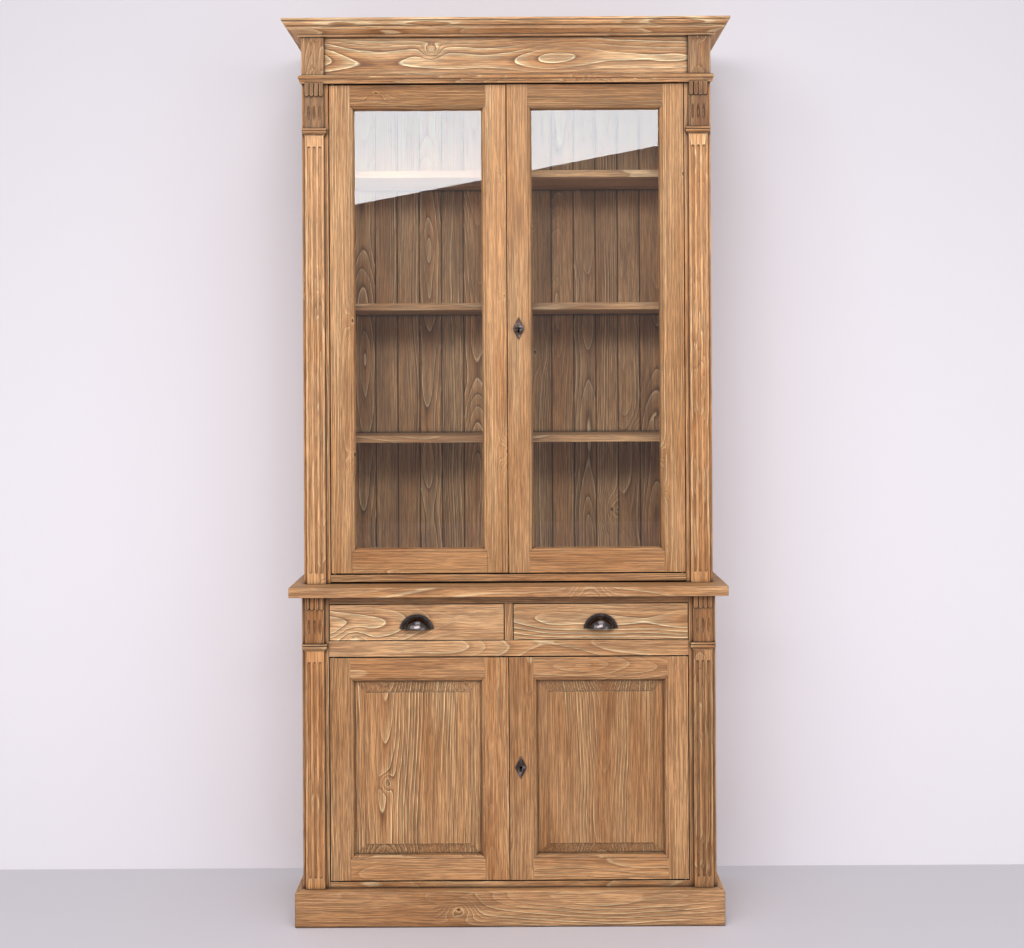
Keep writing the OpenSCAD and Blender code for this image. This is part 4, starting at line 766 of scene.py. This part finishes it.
kept = 0
for node, source in frame["nodes"].items():
    if slotOf[node] in ("steel", "glass"):
        for slot in source.material_slots:
            slot.material = finishes[slotOf[node]]
        kept += 1
print("finishes given to", kept, "kept nodes")


room = {
    "floor": ink(218, 213, 220), "wall": ink(239, 235, 240),
    "planeSize": 16, "floorAt": (0, -3, 0), "wallAt": (0, 0.27, 5),
    "cloudStretch": (0.7, 0.7, 0.7), "cloudShade": 0.97, "roughness": 0.85, "sheen": 0.2,
    "wallShadeFade": (0.3, 3.3, 1.08, 0.74),        # painted shade: from this height to that one, brightness there
    "skyTint": (0.93, 0.935, 0.955, 1),
    "sky": (-0.7, 0.7, 0.10, 0.66),            # from below to overhead, strength there
}


def plainFinish(name, colour, fade=None):
    v = room
    material, tree, shader = openMaterial(name)
    place = put(tree, "ShaderNodeTexCoord").outputs["Object"]
    cloud = noise(tree, place, v["cloudStretch"], 3.0)
    shade = tuple(c * v["cloudShade"] for c in colour[:3]) + (1,)
    tint = mixed(tree, cloud, colour, shade)
    if fade:
        height = put(tree, "ShaderNodeSeparateXYZ")
        feed(tree, height.inputs[0], place)
        tint = scaled(tree, tint, span(tree, height.outputs["Z"], *fade))
    feed(tree, shader.inputs["Base Color"], tint)
    shader.inputs["Roughness"].default_value = v["roughness"]
    shader.inputs["Specular IOR Level"].default_value = v["sheen"]
    return material, tree, shader


def makeStage():
    v = room
    bpy.ops.object.select_all(action="DESELECT")
    bpy.ops.mesh.primitive_plane_add(size=v["planeSize"], location=v["floorAt"])
    floor = bpy.context.object
    floor.name = "floor"
    floor.data.materials.append(plainFinish("paleFloor", v["floor"])[0])
    bpy.ops.object.select_all(action="DESELECT")
    bpy.ops.mesh.primitive_plane_add(size=v["planeSize"], location=v["wallAt"],
                                     rotation=(math.pi / 2, 0, 0))
    wall = bpy.context.object
    wall.name = "wall"
    material, tree, shader = plainFinish("paleWall", v["wall"], v["wallShadeFade"])
    side = put(tree, "ShaderNodeNewGeometry")     # nothing of the wall shows from behind
    clearWhere(tree, shader, side.outputs["Backfacing"])
    wall.data.materials.append(material)
    wall.visible_shadow = False
    wall.visible_diffuse = False
    for piece in (floor, wall):
        onlyThis(piece)
        bpy.ops.object.transform_apply(location=True, rotation=True, scale=True)
    world = bpy.data.worlds.new("softRoom")
    bpy.context.scene.world = world
    world.use_nodes = True
    tree = world.node_tree
    sky = tree.nodes["Background"]
    sky.inputs["Color"].default_value = v["skyTint"]
    way = put(tree, "ShaderNodeSeparateXYZ")
    feed(tree, way.inputs[0], put(tree, "ShaderNodeTexCoord").outputs["Generated"])
    feed(tree, sky.inputs["Strength"], span(tree, way.outputs["Z"], *v["sky"]))


lamps = {
    "windowLeft": {"place": (-3.5, -4.8, 3.6), "aim": (0.0, 0, 1.1), "size": (2.8, 2.4),
                   "watts": 60, "tint": (1.0, 0.985, 0.97)},
    "ceilingPanel": {"place": (-0.07, -3.0, 2.50), "aim": (-0.07, 0.0, 2.0), "roll": 10.6,
                     "size": (2.2, 0.56), "watts": 38, "tint": (0.98, 0.98, 1.0)},
    "roofLight": {"place": (0.2, -2.6, 5.2), "aim": (0.0, -0.1, 0.8), "size": (2.6, 1.4),
                  "watts": 46, "tint": (0.99, 0.985, 1.0)},
    # the panel again, just in front, for what the panes and the iron mirror
    "panelShine": {"place": (-0.07, -2.98, 2.497), "aim": (-0.07, 0.0, 2.0), "roll": 10.6,
                   "size": (2.2, 0.56), "watts": 35, "tint": (0.98, 0.98, 1.0),
                   "mirrored": True},
    "roomRight": {"place": (3.4, -3.8, 1.6), "aim": (0, 0, 1.0), "size": (2.4, 2.2),
                  "watts": 30, "tint": (0.97, 0.98, 1.0)},
}


def hangLamps():
    for name, v in lamps.items():
        light = bpy.data.lights.new(name, "AREA")
        light.shape = "RECTANGLE"
        light.size, light.size_y = v["size"]
        light.energy = v["watts"]
        light.color = v["tint"]
        lamp = bpy.data.objects.new(name, light)
        bpy.context.scene.collection.objects.link(lamp)
        lamp.location = v["place"]
        way = Vector(v["aim"]) - Vector(v["place"])
        turned = way.to_track_quat("-Z", "Y").to_matrix() @ Matrix.Rotation(
            math.radians(v.get("roll", 0)), 3, "Z")
        lamp.rotation_euler = turned.to_euler()
        lamp.visible_transmission = False         # not seen through the panes
        lamp.visible_diffuse = not v.get("mirrored", False)


cameraPlace = {"place": (0.016, -3.879, 1.305), "lens": 53.76, "roll": 0.3,
               "shift": (-0.002, -0.086), "sensor": 36}


def standCamera():
    v = cameraPlace
    data = bpy.data.cameras.new("viewFront")
    data.lens = v["lens"]
    data.sensor_width = v["sensor"]
    data.shift_x, data.shift_y = v["shift"]
    camera = bpy.data.objects.new("viewFront", data)
    bpy.context.scene.collection.objects.link(camera)
    camera.location = v["place"]
    camera.rotation_euler = (math.pi / 2, math.radians(v["roll"]), 0)
    bpy.context.scene.camera = camera


makeStage()
hangLamps()
standCamera()
bpy.context.scene.view_settings.view_transform = "Standard"
print("stage, lamps and camera set")
